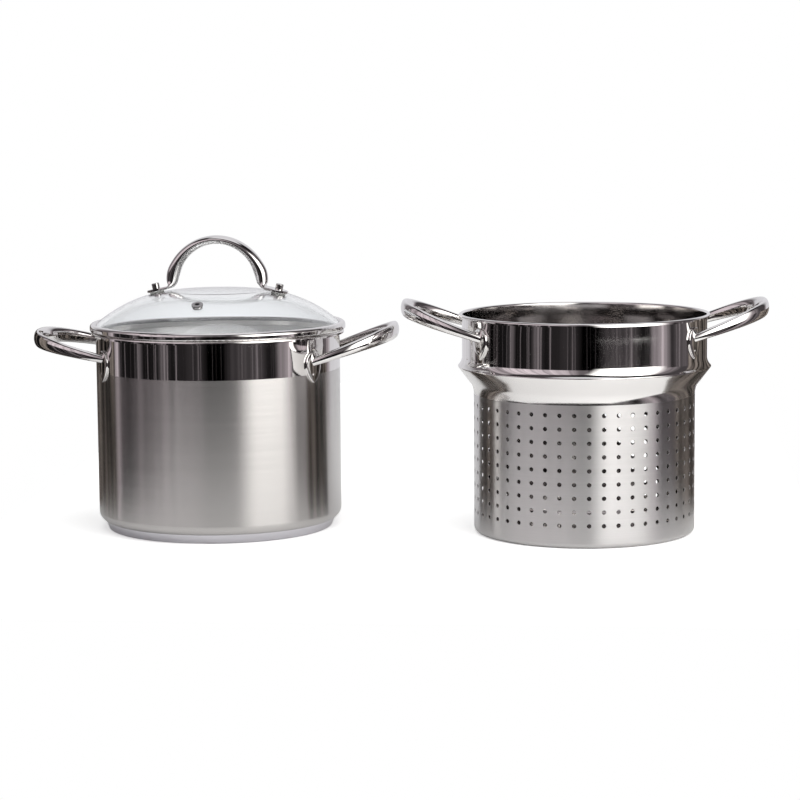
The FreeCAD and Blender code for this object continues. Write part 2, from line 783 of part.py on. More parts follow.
def repeat(body, name, feature, columns, rows=None):
    """Repeat a cut round the vertical axis, and up it where there are rows."""
    steps = []
    if rows:
        up = doc.addObject("PartDesign::LinearPattern", name + "_up")
        up.Direction = origin_axis(body, "Z_Axis")
        up.Mode = "Spacing"
        bind(up, Offset=rows[1], Occurrences=rows[0])
        steps.append(up)
    around = doc.addObject("PartDesign::PolarPattern", name + "_around")
    around.Axis = origin_axis(body, "Z_Axis")
    around.Angle = 360
    bind(around, Occurrences=columns)
    steps.append(around)
    pattern = body.newObject("PartDesign::MultiTransform", name)
    pattern.Originals = [feature]
    pattern.Transformations = steps
    pattern.Refine = False
    body.Tip = pattern
    return pattern


def drill(body, name, x, y, role, back):
    """A short round cut through the sheet at (x, y) of an origin plane, from back of it."""
    plan = circles(body, name + "_plan", [(x, y)], "hole_diameter", role)
    bind(plan, AttachmentOffset__Base__z=back)
    hole = body.newObject("PartDesign::Pocket", name)
    hole.Profile = plan
    hole.Reversed = True
    hole.Refine = False
    bind(hole, Length="3 * insert_sheet")
    body.Tip = hole
    return hole


def perforate(body):
    """Rings of round holes in the basket's floor and rows of them in its wall."""
    drill(body, "floor_hole", "0", "0", "XY_Plane", "-insert_sheet")
    for ring in FLOOR_RINGS:
        hole = drill(body, "floor_ring_%d_hole" % ring, "%d * floor_ring_pitch" % ring, "0",
                     "XY_Plane", "-insert_sheet")
        repeat(body, "floor_ring_%d" % ring, hole, "%d * floor_ring_step" % ring)
    hole = drill(body, "wall_hole", "0", "first_row_height", "XZ_Plane",
                 "basket_inner - insert_sheet")
    repeat(body, "wall_holes", hole, "hole_columns", ("hole_rows", "row_pitch"))


# The whole set

under_dome = turned("under_dome", [("0", "pot_height"), ("glass_radius", "pot_height")]
                    + DOME_OUTER)
inside_dome = turned("inside_dome", DOME_INNER + [
    ("knuckle_x + inner_knuckle * sin(edge_slope)", "pot_height"), ("0", "pot_height")])
vent_turns = "%s * %s" % (about_z("vent_angle"), about_y("vent_slope"))
vent_hole = make_vent_hole(vent_turns, "vent_radius", "vent_z")

parts = [make_pot_shell(), make_pot_base_core(), make_pot_base_cap()]
lid_pieces = [
    make_lid_glass(vent_hole),
    make_lid_rim_band(),
    make_lid_handle(),
    make_steam_vent(under_dome, inside_dome, vent_turns, "vent_radius", "vent_z"),
]
for side in SIDES:
    lid_pieces.append(make_upper_washer(side, under_dome))
    lid_pieces.append(make_lower_washer(side, inside_dome))
    parts.append(make_lid_screw(side))
    parts.append(make_lid_nut(side))
for piece in lid_pieces:
    turn_with_lid(piece)
parts += lid_pieces
for side, half_turn, bend in (("right", "0", "handle"), ("left", "180", "left_handle")):
    parts.append(make_side_handle(
        "pot_handle_" + side, "shell_radius", "(pot_height - pot_handle_drop)",
        "0", "0", half_turn, bend))
    parts.append(make_side_handle(
        "insert_handle_" + side, "collar_radius", "(insert_height - insert_handle_drop)",
        "insert_along", "insert_aside", "insert_turn + " + half_turn))
insert_body = make_insert_body()
parts.append(insert_body)
doc.recompute()
plain_volume = insert_body.Shape.Volume
perforate(insert_body)
doc.recompute()

hole_count = value("hole_columns * hole_rows + 1") + sum(
    value("%d * floor_ring_step" % ring) for ring in FLOOR_RINGS)
expected = hole_count * value("pi * hole_diameter^2 / 4 * insert_sheet")
removed = plain_volume - insert_body.Shape.Volume
if abs(removed - expected) > 0.02 * expected:
    raise RuntimeError("the holes take %.1f mm3 and not %.1f" % (removed, expected))

for thing in doc.Objects:
    if "Invalid" in thing.State or "Error" in thing.State:
        raise RuntimeError("%s failed: %s" % (thing.Name, thing.State))
for part in parts:
    if part.Shape.isNull() or not part.Shape.isValid():
        raise RuntimeError("%s has no valid shape" % part.Label)
    if len(part.Shape.Solids) != 1:
        raise RuntimeError("%s has %d solids" % (part.Label, len(part.Shape.Solids)))

os.makedirs("parts", exist_ok=True)
for part in parts:
    part.Shape.exportStep("parts/%s.step" % part.Label)
    print(part.Label, round(part.Shape.Volume, 1))
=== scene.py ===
"""Looks of the pasta pot: brushed and polished steel, the clear lid and the perforated insert."""

from math import acos, asin, atan, atan2, ceil, cos, degrees, hypot, pi, radians, sin, sqrt
from math import tan

import bmesh
import bpy
from bpy.props import FloatProperty, FloatVectorProperty, IntProperty, PointerProperty
from mathutils import Matrix, Vector
from mathutils.geometry import delaunay_2d_cdt


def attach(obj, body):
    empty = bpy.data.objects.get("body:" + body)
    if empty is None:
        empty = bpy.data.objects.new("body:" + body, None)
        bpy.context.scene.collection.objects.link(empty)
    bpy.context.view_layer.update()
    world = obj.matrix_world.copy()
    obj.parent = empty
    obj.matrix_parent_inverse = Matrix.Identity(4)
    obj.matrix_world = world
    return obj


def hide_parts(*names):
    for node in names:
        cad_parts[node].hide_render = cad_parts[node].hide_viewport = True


bl_info = {
    "name": "Pasta Pot",
    "version": (1, 0, 0),
    "blender": (4, 5, 0),
    "location": "3D View > Sidebar > Pasta Pot",
    "description": "Builds the looks of a pasta pot and its perforated insert",
    "category": "Object",
}

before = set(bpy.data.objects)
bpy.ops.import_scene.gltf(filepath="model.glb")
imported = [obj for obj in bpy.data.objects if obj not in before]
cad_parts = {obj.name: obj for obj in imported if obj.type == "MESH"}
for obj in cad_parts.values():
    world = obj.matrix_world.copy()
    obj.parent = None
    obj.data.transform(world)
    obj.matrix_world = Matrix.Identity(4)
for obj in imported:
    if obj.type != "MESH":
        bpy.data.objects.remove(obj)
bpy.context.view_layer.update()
BODY = "root"
MM = 0.001

# Sizes in millimetres, as in the solids.
POT_INNER = 110.0
POT_OUTER = 110.8
POT_HEIGHT = 180.4
POT_FLOOR = 7.4
POT_SHEET = 0.8
POT_CORNER = 9.0
POT_ROLL = 2.4
ROLL_DROP = 1.2
INSERT_SHEET = 0.7
COLLAR = 109.3
INSERT_HEIGHT = 196.8
INSERT_ROLL = 1.8
BEAD = 112.9
BEAD_Z = 149.6
BEAD_TIP = 1.0
COVE = 11.6
SHOULDER = 16.7
SHOULDER_LEAN = radians(36.9)
BASKET = 99.0
BASKET_CORNER = 5.0
FLOOR_EDGE = 86.0
INSERT_AT = (333.2, -13.3)
INSERT_TURN = radians(3.8)

GLASS = 4.0
GLASS_EDGE = 112.9
GLASS_SEAT = 181.0
GLASS_BORE = 3.5
CROWN = 534.0
CROWN_REACH = 41.3
KNUCKLE = 118.0
SCREW = 56.6
VENT = 74.4
VENT_AT = radians(-94.4)
LID_TURN = radians(-4.4)

# Sections of the bent bars are (width, height) across the bar.
FOOT_ANGLE = radians(32.0)
FOOT_HALF = 10.0
FOOT_DROP = 17.0
FOOT_SHEET = 2.0
ARM_SINK = 3.0
ARM = (6.2, 7.0)
GRIP = (7.0, 14.5)
GRIP_POWER = 2 / 2.4
ARCH_HALF = 42.8
ARCH_TALL = 44.1
ARCH_BEND = 5.2
ARCH_BEND_R = ARCH_HALF * cos(asin(ARCH_BEND / ARCH_TALL)) + ARCH_BEND
ARCH_END = (17.2, 2.2)
ARCH_FOOT = (13.0, 9.4)
ARCH_LEG = (12.6, 12.0)
ARCH_CROWN = (15.0, 7.8)
TAB_HALF = 8.8
TAB_BORE = 2.15
TAB_LOW, TAB_MIDDLE, TAB_HIGH = 1.0, 2.2, 3.4
TAB_EDGE = 0.4

# Corners round a turned piece, a hole and a bar.
ROUND = 240
HOLE_SIDES = 24
BAR_SIDES = 40

# Node, radius and height of its root, reach, slope in degrees, centre and turn.
SIDE_HANDLES = (
    ("pot_handle_right", POT_OUTER, 162.0, 51.0, 19.0, (0, 0), 0.0),
    ("pot_handle_left", POT_OUTER, 162.0, 54.2, 12.0, (0, 0), pi),
    ("insert_handle_right", COLLAR, 184.5, 51.0, 19.0, INSERT_AT, INSERT_TURN),
    ("insert_handle_left", COLLAR, 184.5, 51.0, 19.0, INSERT_AT, INSERT_TURN + pi),
)


# Lathe work

class Profile:
    """A closed half section walked anticlockwise: points, and the normals at both ends of
    every short edge, so that mirror finishes show no facets."""

    def __init__(self, r, z):
        self.points = [(r, z)]
        self.edges = []

    def line(self, r, z, finish=0, parts=1):
        r0, z0 = self.points[-1]
        length = hypot(r - r0, z - z0)
        normal = ((z - z0) / length, (r0 - r) / length)
        for part in range(1, parts + 1):
            share = part / parts
            self.points.append((r0 + (r - r0) * share, z0 + (z - z0) * share))
            self.edges.append((normal, normal, finish))
        return self

    def arc(self, r, z, centre_r, centre_z, turn, finish=0, step=6.0):
        r0, z0 = self.points[-1]
        radius = hypot(r0 - centre_r, z0 - centre_z)
        start = atan2(z0 - centre_z, r0 - centre_r)
        sweep = atan2(z - centre_z, r - centre_r) - start
        while sweep * turn <= 0:
            sweep += 2 * pi * turn
        parts = max(2, ceil(abs(degrees(sweep)) / step))
        for part in range(1, parts + 1):
            before = start + sweep * (part - 1) / parts
            after = start + sweep * part / parts
            self.points.append((centre_r + radius * cos(after),
                                centre_z + radius * sin(after)))
            self.edges.append(((turn * cos(before), turn * sin(before)),
                               (turn * cos(after), turn * sin(after)), finish))
        return self

    def roll(self, inner, z, radius, sheet):
        """A lip rolled outward, from the outer wall round its hem to the inner wall."""
        middle, outer = inner + radius, inner + 2 * radius
        self.arc(outer - sheet, z, middle, z, -1, 1, 12)
        self.line(outer - sheet, z - ROLL_DROP, 1)
        self.line(outer, z - ROLL_DROP, 1).line(outer, z, 1)
        return self.arc(inner, z, middle, z, 1, 1, 12)

    def skip(self, r, z):
        """Jump to the next point: something else fills the gap."""
        self.points.append((r, z))
        self.edges.append(None)
        return self


def turn_profile(profile, angles):
    """Vertices, faces, corner normals and finishes of a section turned about its axis."""
    verts, rings = [], []
    count = len(angles)
    for r, z in profile.points:
        if r < 1e-6:
            rings.append([len(verts)] * count)
            verts.append((0, 0, z * MM))
            continue
        rings.append(list(range(len(verts), len(verts) + count)))
        verts += [(r * cos(a) * MM, r * sin(a) * MM, z * MM) for a in angles]
    faces, normals, finishes = [], [], []
    for number, edge in enumerate(profile.edges):
        if edge is None:
            continue
        first, last, finish = edge
        low, high = rings[number], rings[number + 1]
        for here in range(count):
            there = (here + 1) % count
            corners = [(low[here], here, first), (low[there], there, first),
                       (high[there], there, last), (high[here], here, last)]
            if low[0] == low[-1]:
                corners.pop(1)
            elif high[0] == high[-1]:
                corners.pop(2)
            faces.append([corner[0] for corner in corners])
            normals.append([(n[0] * cos(angles[a]), n[0] * sin(angles[a]), n[1])
                            for _, a, n in corners])
            finishes.append(finish)
    return verts, faces, normals, finishes


def even_angles(count):
    return [2 * pi * number / count for number in range(count)]


def new_object(name, data):
    piece = bpy.data.objects.new(name, data)
    bpy.context.scene.collection.objects.link(piece)
    return piece


def piece_from(name, verts, faces, normals, finishes, materials):
    """A mesh object with its corner normals and one material for each finish."""
    mesh = bpy.data.meshes.new(name)
    mesh.from_pydata(verts, [], faces)
    mesh.polygons.foreach_set("material_index", finishes)
    mesh.polygons.foreach_set("use_smooth", [True] * len(faces))
    mesh.update()
    mesh.normals_split_custom_set([corner for face in normals for corner in face])
    for material in materials:
        mesh.materials.append(material)
    return new_object(name, mesh)


def mesh_from(work, name):
    """A work mesh kept as a plain mesh."""
    mesh = bpy.data.meshes.new(name)
    work.to_mesh(mesh)
    work.free()
    return mesh


def seat(piece, slot, *nodes):
    """Let a finished piece ride on the pot in place of its solids."""
    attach(piece, BODY)
    if nodes:
        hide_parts(*nodes)


def pot_profile(band_z):
    """Finishes: 0 brushed, 1 polished, 2 inside."""
    corner_r = POT_OUTER - POT_CORNER
    corner_z = POT_FLOOR + POT_CORNER
    rim_z = POT_HEIGHT - POT_ROLL
    inside = POT_FLOOR + POT_SHEET
    section = Profile(0, POT_FLOOR).line(corner_r, POT_FLOOR)
    section.arc(POT_OUTER, corner_z, corner_r, corner_z, 1)
    section.line(POT_OUTER, band_z, 0, 8).line(POT_OUTER, rim_z, 1, 4)
    section.roll(POT_INNER, rim_z, POT_ROLL, POT_SHEET)
    section.line(POT_INNER, corner_z, 2, 8)
    section.arc(corner_r, inside, corner_r, corner_z, -1, 2)
    return section.line(0, inside, 2)


def insert_profile(hole_low, hole_high):
    """Finishes: 0 satin basket, 1 polished collar, 2 inside, 3 polished shoulder.  The
    perforated wall and floor are left out."""
    tip_r = BEAD - BEAD_TIP
    cove_r = COLLAR + COVE
    cove = acos((cove_r - tip_r) / (COVE + BEAD_TIP))
    cove_z = BEAD_Z + (COVE + BEAD_TIP) * sin(cove)
    sine, cosine = sin(SHOULDER_LEAN), cos(SHOULDER_LEAN)
    shoulder_r = BASKET + SHOULDER
    slope_r = tip_r + BEAD_TIP * cosine
    slope_z = BEAD_Z - BEAD_TIP * sine
    bend_r = shoulder_r - SHOULDER * cosine
    shoulder_z = slope_z - (slope_r - bend_r) / tan(SHOULDER_LEAN) - SHOULDER * sine
    inner = BASKET - INSERT_SHEET
    corner_r = BASKET - BASKET_CORNER
    lip_z = INSERT_HEIGHT - INSERT_ROLL
    lip_in = COLLAR - INSERT_SHEET
    tip = BEAD_TIP - INSERT_SHEET
    wide = SHOULDER + INSERT_SHEET
    section = Profile(FLOOR_EDGE, 0).line(corner_r, 0, 0)
    section.arc(BASKET, BASKET_CORNER, corner_r, BASKET_CORNER, 1, 0, 10)
    section.line(BASKET, hole_low, 0).skip(BASKET, hole_high)
    section.line(BASKET, shoulder_z, 0)
    section.arc(bend_r, shoulder_z + SHOULDER * sine, shoulder_r, shoulder_z, -1, 3, 5)
    section.line(slope_r, slope_z, 3, 2)
    section.arc(tip_r + BEAD_TIP * cos(cove), BEAD_Z + BEAD_TIP * sin(cove),
                tip_r, BEAD_Z, 1, 1, 12)
    section.arc(COLLAR, cove_z, cove_r, cove_z, -1, 1, 5)
    section.line(COLLAR, lip_z, 1, 3)
    section.roll(lip_in, lip_z, INSERT_ROLL, INSERT_SHEET)
    section.line(lip_in, cove_z, 2, 3)
    section.arc(tip_r + tip * cos(cove), BEAD_Z + tip * sin(cove),
                cove_r, cove_z, 1, 2, 8)
    section.arc(tip_r + tip * cosine, BEAD_Z - tip * sine, tip_r, BEAD_Z, -1, 2, 20)
    section.line(shoulder_r - wide * cosine, shoulder_z + wide * sine, 2, 2)
    section.arc(inner, shoulder_z, shoulder_r, shoulder_z, 1, 2, 8)
    section.line(inner, hole_high, 2).skip(inner, hole_low)
    section.line(inner, BASKET_CORNER, 2)
    section.arc(corner_r, INSERT_SHEET, corner_r, BASKET_CORNER, -1, 2, 10)
    return section.line(FLOOR_EDGE, INSERT_SHEET, 2)


# Node trees

class Tree:
    """Short words for building a node tree."""

    def __init__(self, tree):
        self.tree = tree

    def add(self, kind, inputs=None, **settings):
        node = self.tree.nodes.new(kind)
        for name, setting in settings.items():
            setattr(node, name, setting)
        return self.feed(node, inputs or {})

    def out(self, kind, inputs=None, **settings):
        return self.add(kind, inputs, **settings).outputs[0]

    def feed(self, node, inputs):
        """Link or set a node's inputs, each by its name or number."""
        for name, given in inputs.items():
            if isinstance(given, bpy.types.NodeSocket):
                self.tree.links.new(given, node.inputs[name])
            else:
                node.inputs[name].default_value = given
        return node

    def math(self, operation, first, second=0.0, third=0.0):
        return self.out("ShaderNodeMath", {0: first, 1: second, 2: third},
                        operation=operation)

    def times(self, first, second):
        return self.math("MULTIPLY", first, second)

    def over(self, first, second):
        return self.math("DIVIDE", first, second)

    def plus(self, first, second):
        return self.math("ADD", first, second)

    def vector(self, operation, first, second=(0, 0, 0), scale=1.0):
        return self.out("ShaderNodeVectorMath", {0: first, 1: second, 3: scale},
                        operation=operation)

    def split(self, vector):
        return self.add("ShaderNodeSeparateXYZ", {0: vector}).outputs

    def join(self, x=0.0, y=0.0, z=0.0):
        return self.out("ShaderNodeCombineXYZ", {0: x, 1: y, 2: z})

    def noise(self, vector, scale, detail, roughness=0.5):
        """Noise at one scale, or at a scale for each axis."""
        if isinstance(scale, tuple):
            vector, scale = self.vector("MULTIPLY", vector, scale), 1.0
        return self.out("ShaderNodeTexNoise", {
            "Vector": vector, "Scale": scale, "Detail": detail, "Roughness": roughness})

    def span(self, value, low, high, start, end, kind="LINEAR"):
        return self.out("ShaderNodeMapRange", {
            "Value": value, "From Min": low, "From Max": high, "To Min": start,
            "To Max": end}, interpolation_type=kind)

    def fade(self, value, limits, start=0.0, end=1.0):
        return self.span(value, *limits, start, end, "SMOOTHSTEP")

    def ramp(self, value, *stops):
        """A colour ramp through stops, each a place and a colour."""
        node = self.add("ShaderNodeValToRGB", {"Fac": value})
        elements = node.color_ramp.elements
        for number, (place, colour) in enumerate(stops):
            element = elements[number] if number < 2 else elements.new(place)
            element.position = place
            element.color = (*colour, 1)
        return node.outputs[0]

    def bump(self, height, strength, distance):
        return self.out("ShaderNodeBump", {
            "Height": height, "Strength": strength, "Distance": distance})

    def mix(self, share, first, second, kind="FLOAT"):
        start, out = {"FLOAT": (2, 0), "RGBA": (6, 2)}[kind]
        return self.add("ShaderNodeMix", {0: share, start: first, start + 1: second},
                        data_type=kind).outputs[out]

    def shade(self, share, first, second):
        return self.out("ShaderNodeMixShader", {0: share, 1: first, 2: second})

    def seen(self):
        """1 for what the camera sees, straight or through the glass, and otherwise 0."""
        path = self.add("ShaderNodeLightPath").outputs
        return self.math("MAXIMUM", path["Is Camera Ray"], path["Is Transmission Ray"])


def empty_material(name):
    material = bpy.data.materials.new(name)
    material.use_nodes = True
    material.node_tree.nodes.clear()
    return material, Tree(material.node_tree)


def new_material(name):
    """A material, its tree, its main shader and the place on the object."""
    material, tree = empty_material(name)
    shader = tree.add("ShaderNodeBsdfPrincipled")
    tree.add("ShaderNodeOutputMaterial", {"Surface": shader.outputs[0]})
    return material, tree, shader, tree.add("ShaderNodeTexCoord").outputs["Object"]


def brushed_steel(name, colour, roughness, anisotropy, line_depth, centre=(0, 0, 0)):
    """Steel with fine lines running round it: long streaks of tone, and a slight bump."""
    material, tree, shader, place = new_material(name)
    place = tree.vector("SUBTRACT", place, centre)
    fine = tree.noise(place, (14, 14, 2600), 3.0, 0.6)
    coarse = tree.noise(place, (5, 5, 500), 2.0)
    lines = tree.math("MULTIPLY_ADD", fine, 0.6, tree.times(coarse, 0.4))
    tangent = tree.add("ShaderNodeTangent", direction_type="RADIAL", axis="Z")
    tree.feed(shader, {
        "Metallic": 1.0, "Anisotropic": anisotropy, "Anisotropic Rotation": 0.25,
        "Base Color": tree.ramp(lines, (0.32, [part * 0.96 for part in colour]),
                                (0.68, [min(1, part * 1.03) for part in colour])),
        "Roughness": tree.span(lines, 0.3, 0.7, roughness * 0.95, roughness * 1.05),
        "Normal": tree.bump(fine, line_depth, 0.00004),
        "Tangent": tangent.outputs[0]})
    return material


def polished_steel(name, colour, roughness, ripple=0.0):
    """Mirror polish with faint wiping marks and, on drawn sheet, a very shallow ripple."""
    material, tree, shader, place = new_material(name)
    smear = tree.noise(place, 38.0, 4.0, 0.65)
    tone = tree.span(smear, 0.3, 0.7, 0.96, 1.0)
    tree.feed(shader, {
        "Metallic": 1.0, "Base Color": tree.vector("SCALE", colour, scale=tone),
        "Roughness": tree.span(smear, 0.35, 0.75, roughness * 0.6, roughness * 1.6)})
    if ripple:
        wave = tree.noise(place, (70, 70, 12), 1.0)
        tree.feed(shader, {"Normal": tree.bump(wave, ripple, 0.0004)})
    return material


def clear_glass():
    """Clear tempered glass, a little blue, with faint clouds of wiping."""
    material, tree, shader, place = new_material("clear_glass")
    tone = tree.ramp(tree.noise(place, 26.0, 3.0, 0.6),
                     (0, (0.955, 0.972, 0.988)), (1, (0.968, 0.980, 0.992)))
    tree.feed(shader, {"Roughness": 0.0, "Transmission Weight": 1.0, "IOR": 1.5,
                       "Base Color": tone})
    return material


def soft_washer():
    """Milky silicone with a fine moulded grain."""
    material, tree, shader, place = new_material("soft_washer")
    grain = tree.noise(place, 900.0, 2.0)
    tone = tree.ramp(grain, (0, (0.55, 0.55, 0.53)), (1, (0.72, 0.72, 0.70)))
    tree.feed(shader, {"Roughness": 0.5, "Base Color": tone,
                       "Normal": tree.bump(grain, 0.2, 0.0001)})
    return material


def dress(node, material):
    """Give a solid kept from the frame its finish."""
    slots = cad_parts[node].data.materials
    if not slots:
        slots.append(material)
    for number in range(len(slots)):
        slots[number] = material


# Geometry nodes

def geometry_tree(name, sizes):
    """A tree with one named input for each size, and its inputs."""
    tree = bpy.data.node_groups.new(name, "GeometryNodeTree")
    tree.interface.new_socket("Geometry", in_out="INPUT", socket_type="NodeSocketGeometry")
    tree.interface.new_socket("Geometry", in_out="OUTPUT", socket_type="NodeSocketGeometry")
    for label, setting in sizes.items():
        kind = "NodeSocketInt" if isinstance(setting, int) else "NodeSocketFloat"
        tree.interface.new_socket(label, in_out="INPUT", socket_type=kind)
    builder = Tree(tree)
    return builder, builder.add("NodeGroupInput").outputs


def grown(name, builder, geometry, sizes, material, seed=None):
    """End a tree with its geometry, run it on a mesh, or on an empty one, and keep the
    result as a plain mesh."""
    whole = builder.add("GeometryNodeRealizeInstances", {0: geometry})
    finish = builder.add("GeometryNodeSetMaterial", {
        "Geometry": whole.outputs[0], "Material": material})
    builder.add("NodeGroupOutput", {0: finish.outputs[0]})
    holder = new_object(name, seed or bpy.data.meshes.new(name))
    modifier = holder.modifiers.new(name, "NODES")
    modifier.node_group = builder.tree
    for item in builder.tree.interface.items_tree:
        if item.item_type == "SOCKET" and item.in_out == "INPUT" and item.name in sizes:
            modifier[item.identifier] = sizes[item.name]
    depsgraph = bpy.context.evaluated_depsgraph_get()
    mesh = bpy.data.meshes.new_from_object(holder.evaluated_get(depsgraph))
    bpy.data.objects.remove(holder)
    if not mesh.polygons:
        raise RuntimeError("%s came out empty" % name)
    mesh.materials.clear()
    mesh.materials.append(material)
    mesh.polygons.foreach_set("material_index", [0] * len(mesh.polygons))
    return mesh


def perforated_wall(sizes, material):
    """A flat tile with one hole, laid out in rows and columns and rolled into a wall."""
    tree, given = geometry_tree("Perforated wall", sizes)
    radius, pitch = given["Wall radius"], given["Row pitch"]
    width = tree.over(tree.times(radius, 2 * pi), given["Columns"])
    ring = tree.out("GeometryNodeMeshCircle", {
        "Vertices": given["Sides"], "Radius": given["Hole radius"]})

    def here():
        return tree.split(tree.out("GeometryNodeInputPosition"))

    def to_tile_edge(mesh, selection):
        place = here()
        size = tree.add("ShaderNodeVectorMath", {0: tree.join(place[0], place[1])},
                        operation="LENGTH").outputs["Value"]
        longest = tree.math("MAXIMUM", tree.math("ABSOLUTE", place[0]),
                            tree.math("ABSOLUTE", place[1]))
        reach = tree.over(size, longest)
        spot = [tree.times(tree.over(place[axis], size),
                           tree.times(reach, tree.times(length, 0.5)))
                for axis, length in enumerate((width, pitch))]
        return tree.out("GeometryNodeSetPosition", {
            "Geometry": mesh, "Selection": selection,
            "Position": tree.join(*spot, place[2])})

    def widened(edges, selection=True):
        step = tree.add("GeometryNodeExtrudeMesh", {
            "Mesh": edges, "Selection": selection, "Offset Scale": 0.0}, mode="EDGES")
        return to_tile_edge(step.outputs["Mesh"], step.outputs["Top"])

    tube = tree.add("GeometryNodeExtrudeMesh", {
        "Mesh": ring, "Offset": tree.join(z=tree.times(given["Sheet"], -1.0)),
        "Offset Scale": 1.0}, mode="EDGES").outputs
    tile = tree.add("GeometryNodeJoinGeometry")
    for face in (widened(ring), widened(tube["Mesh"], tube["Top"])):
        tree.tree.links.new(face, tile.inputs[0])
    long = tree.times(tree.math("SUBTRACT", given["Columns"], 1.0), width)
    tall = tree.times(tree.math("SUBTRACT", given["Rows"], 1.0), pitch)
    grid = tree.add("GeometryNodeMeshGrid", {
        "Size X": long, "Size Y": tall,
        "Vertices X": given["Columns"], "Vertices Y": given["Rows"]})
    laid = tree.add("GeometryNodeInstanceOnPoints", {
        "Points": grid.outputs["Mesh"], "Instance": tile.outputs[0]})
    sheet = tree.add("GeometryNodeRealizeInstances", {0: laid.outputs[0]})
    place = here()
    angle = tree.over(tree.plus(place[0], tree.times(long, 0.5)), radius)
    reach = tree.plus(radius, place[2])
    height = tree.plus(tree.plus(place[1], tree.times(tall, 0.5)), given["First row"])
    wall = tree.add("GeometryNodeSetPosition", {
        "Geometry": sheet.outputs[0],
        "Position": tree.join(tree.times(reach, tree.math("COSINE", angle)),
                              tree.times(reach, tree.math("SINE", angle)), height)})
    joined = tree.add("GeometryNodeMergeByDistance", {
        "Geometry": wall.outputs[0], "Distance": 0.00002})
    return grown("perforated_wall", tree, joined.outputs[0], sizes, material)


def weld_dots(spots, sizes, material):
    """A small dome on each spot, facing the way its foot faces."""
    tree, given = geometry_tree("Weld dots", sizes)
    way = tree.add("GeometryNodeInputNamedAttribute", {"Name": "facing"},
                   data_type="FLOAT_VECTOR")
    turn = tree.add("FunctionNodeAlignRotationToVector", {"Vector": way.outputs[0]}, axis="Z")
    ball = tree.add("GeometryNodeMeshUVSphere", {
        "Segments": 20, "Rings": 12, "Radius": given["Dot radius"]})
    dome = tree.add("GeometryNodeTransform", {
        "Geometry": ball.outputs["Mesh"], "Scale": tree.join(1.0, 1.0, given["Flatness"])})
    laid = tree.add("GeometryNodeInstanceOnPoints", {
        "Points": given["Geometry"], "Instance": dome.outputs[0],
        "Rotation": turn.outputs[0]})
    whole = tree.add("GeometryNodeRealizeInstances", {0: laid.outputs[0]})
    smooth = tree.add("GeometryNodeSetShadeSmooth", {"Geometry": whole.outputs[0]})
    seed = bpy.data.meshes.new("weld_spots")
    seed.from_pydata([spot for spot, _ in spots], [], [])
    attribute = seed.attributes.new("facing", "FLOAT_VECTOR", "POINT")
    for number, (_, outward) in enumerate(spots):
        attribute.data[number].vector = outward
    return grown("weld_dots", tree, smooth.outputs[0], sizes, material, seed)


# Glass

class Dome:
    """The two arcs of the glass: a flat crown and a rounder knuckle round it."""
    slope = asin(CROWN_REACH / CROWN)
    knuckle_r = CROWN_REACH - KNUCKLE * sin(slope)
    edge = asin((GLASS_EDGE - knuckle_r) / KNUCKLE)
    knuckle_z = GLASS_SEAT - (KNUCKLE - GLASS) * cos(edge)
    crown_z = knuckle_z - (CROWN - KNUCKLE) * cos(slope)

    def centre(self, r, z):
        """Centre of the arc that a point of the section belongs to, and its outer radius."""
        if atan2(r, z - self.crown_z) < self.slope:
            return 0.0, self.crown_z, CROWN
        return self.knuckle_r, self.knuckle_z, KNUCKLE

    def at(self, r):
        """Height of the outer face at a radius, and the lean of its normal."""
        lean = asin((r - self.knuckle_r) / KNUCKLE)
        return self.knuckle_z + KNUCKLE * cos(lean), lean

    def profile(self):
        inner_crown, inner_knuckle = CROWN - GLASS, KNUCKLE - GLASS
        sine, cosine = sin(self.slope), cos(self.slope)
        section = Profile(0, self.crown_z + inner_crown)
        section.arc(inner_crown * sine, self.crown_z + inner_crown * cosine,
                    0, self.crown_z, -1, 0, 0.9)
        section.arc(self.knuckle_r + inner_knuckle * sin(self.edge), GLASS_SEAT,
                    self.knuckle_r, self.knuckle_z, -1, 0, 2)
        section.line(GLASS_EDGE, self.knuckle_z + KNUCKLE * cos(self.edge))
        section.arc(CROWN_REACH, self.knuckle_z + KNUCKLE * cosine,
                    self.knuckle_r, self.knuckle_z, 1, 0, 2)
        return section.arc(0, self.crown_z + CROWN, 0, self.crown_z, 1, 0, 0.9)


def add_drill(work, r, azimuth, dome):
    """A round cutter through the glass, square to its outer face."""
    height, lean = dome.at(r)
    way = (Matrix.Rotation(azimuth, 4, "Z") @ Matrix.Translation((r * MM, 0, height * MM))
           @ Matrix.Rotation(lean, 4, "Y"))
    bmesh.ops.create_cone(work, cap_ends=True, segments=2 * HOLE_SIDES, radius1=GLASS_BORE * MM,
                          radius2=GLASS_BORE * MM, depth=5 * GLASS * MM, matrix=way)


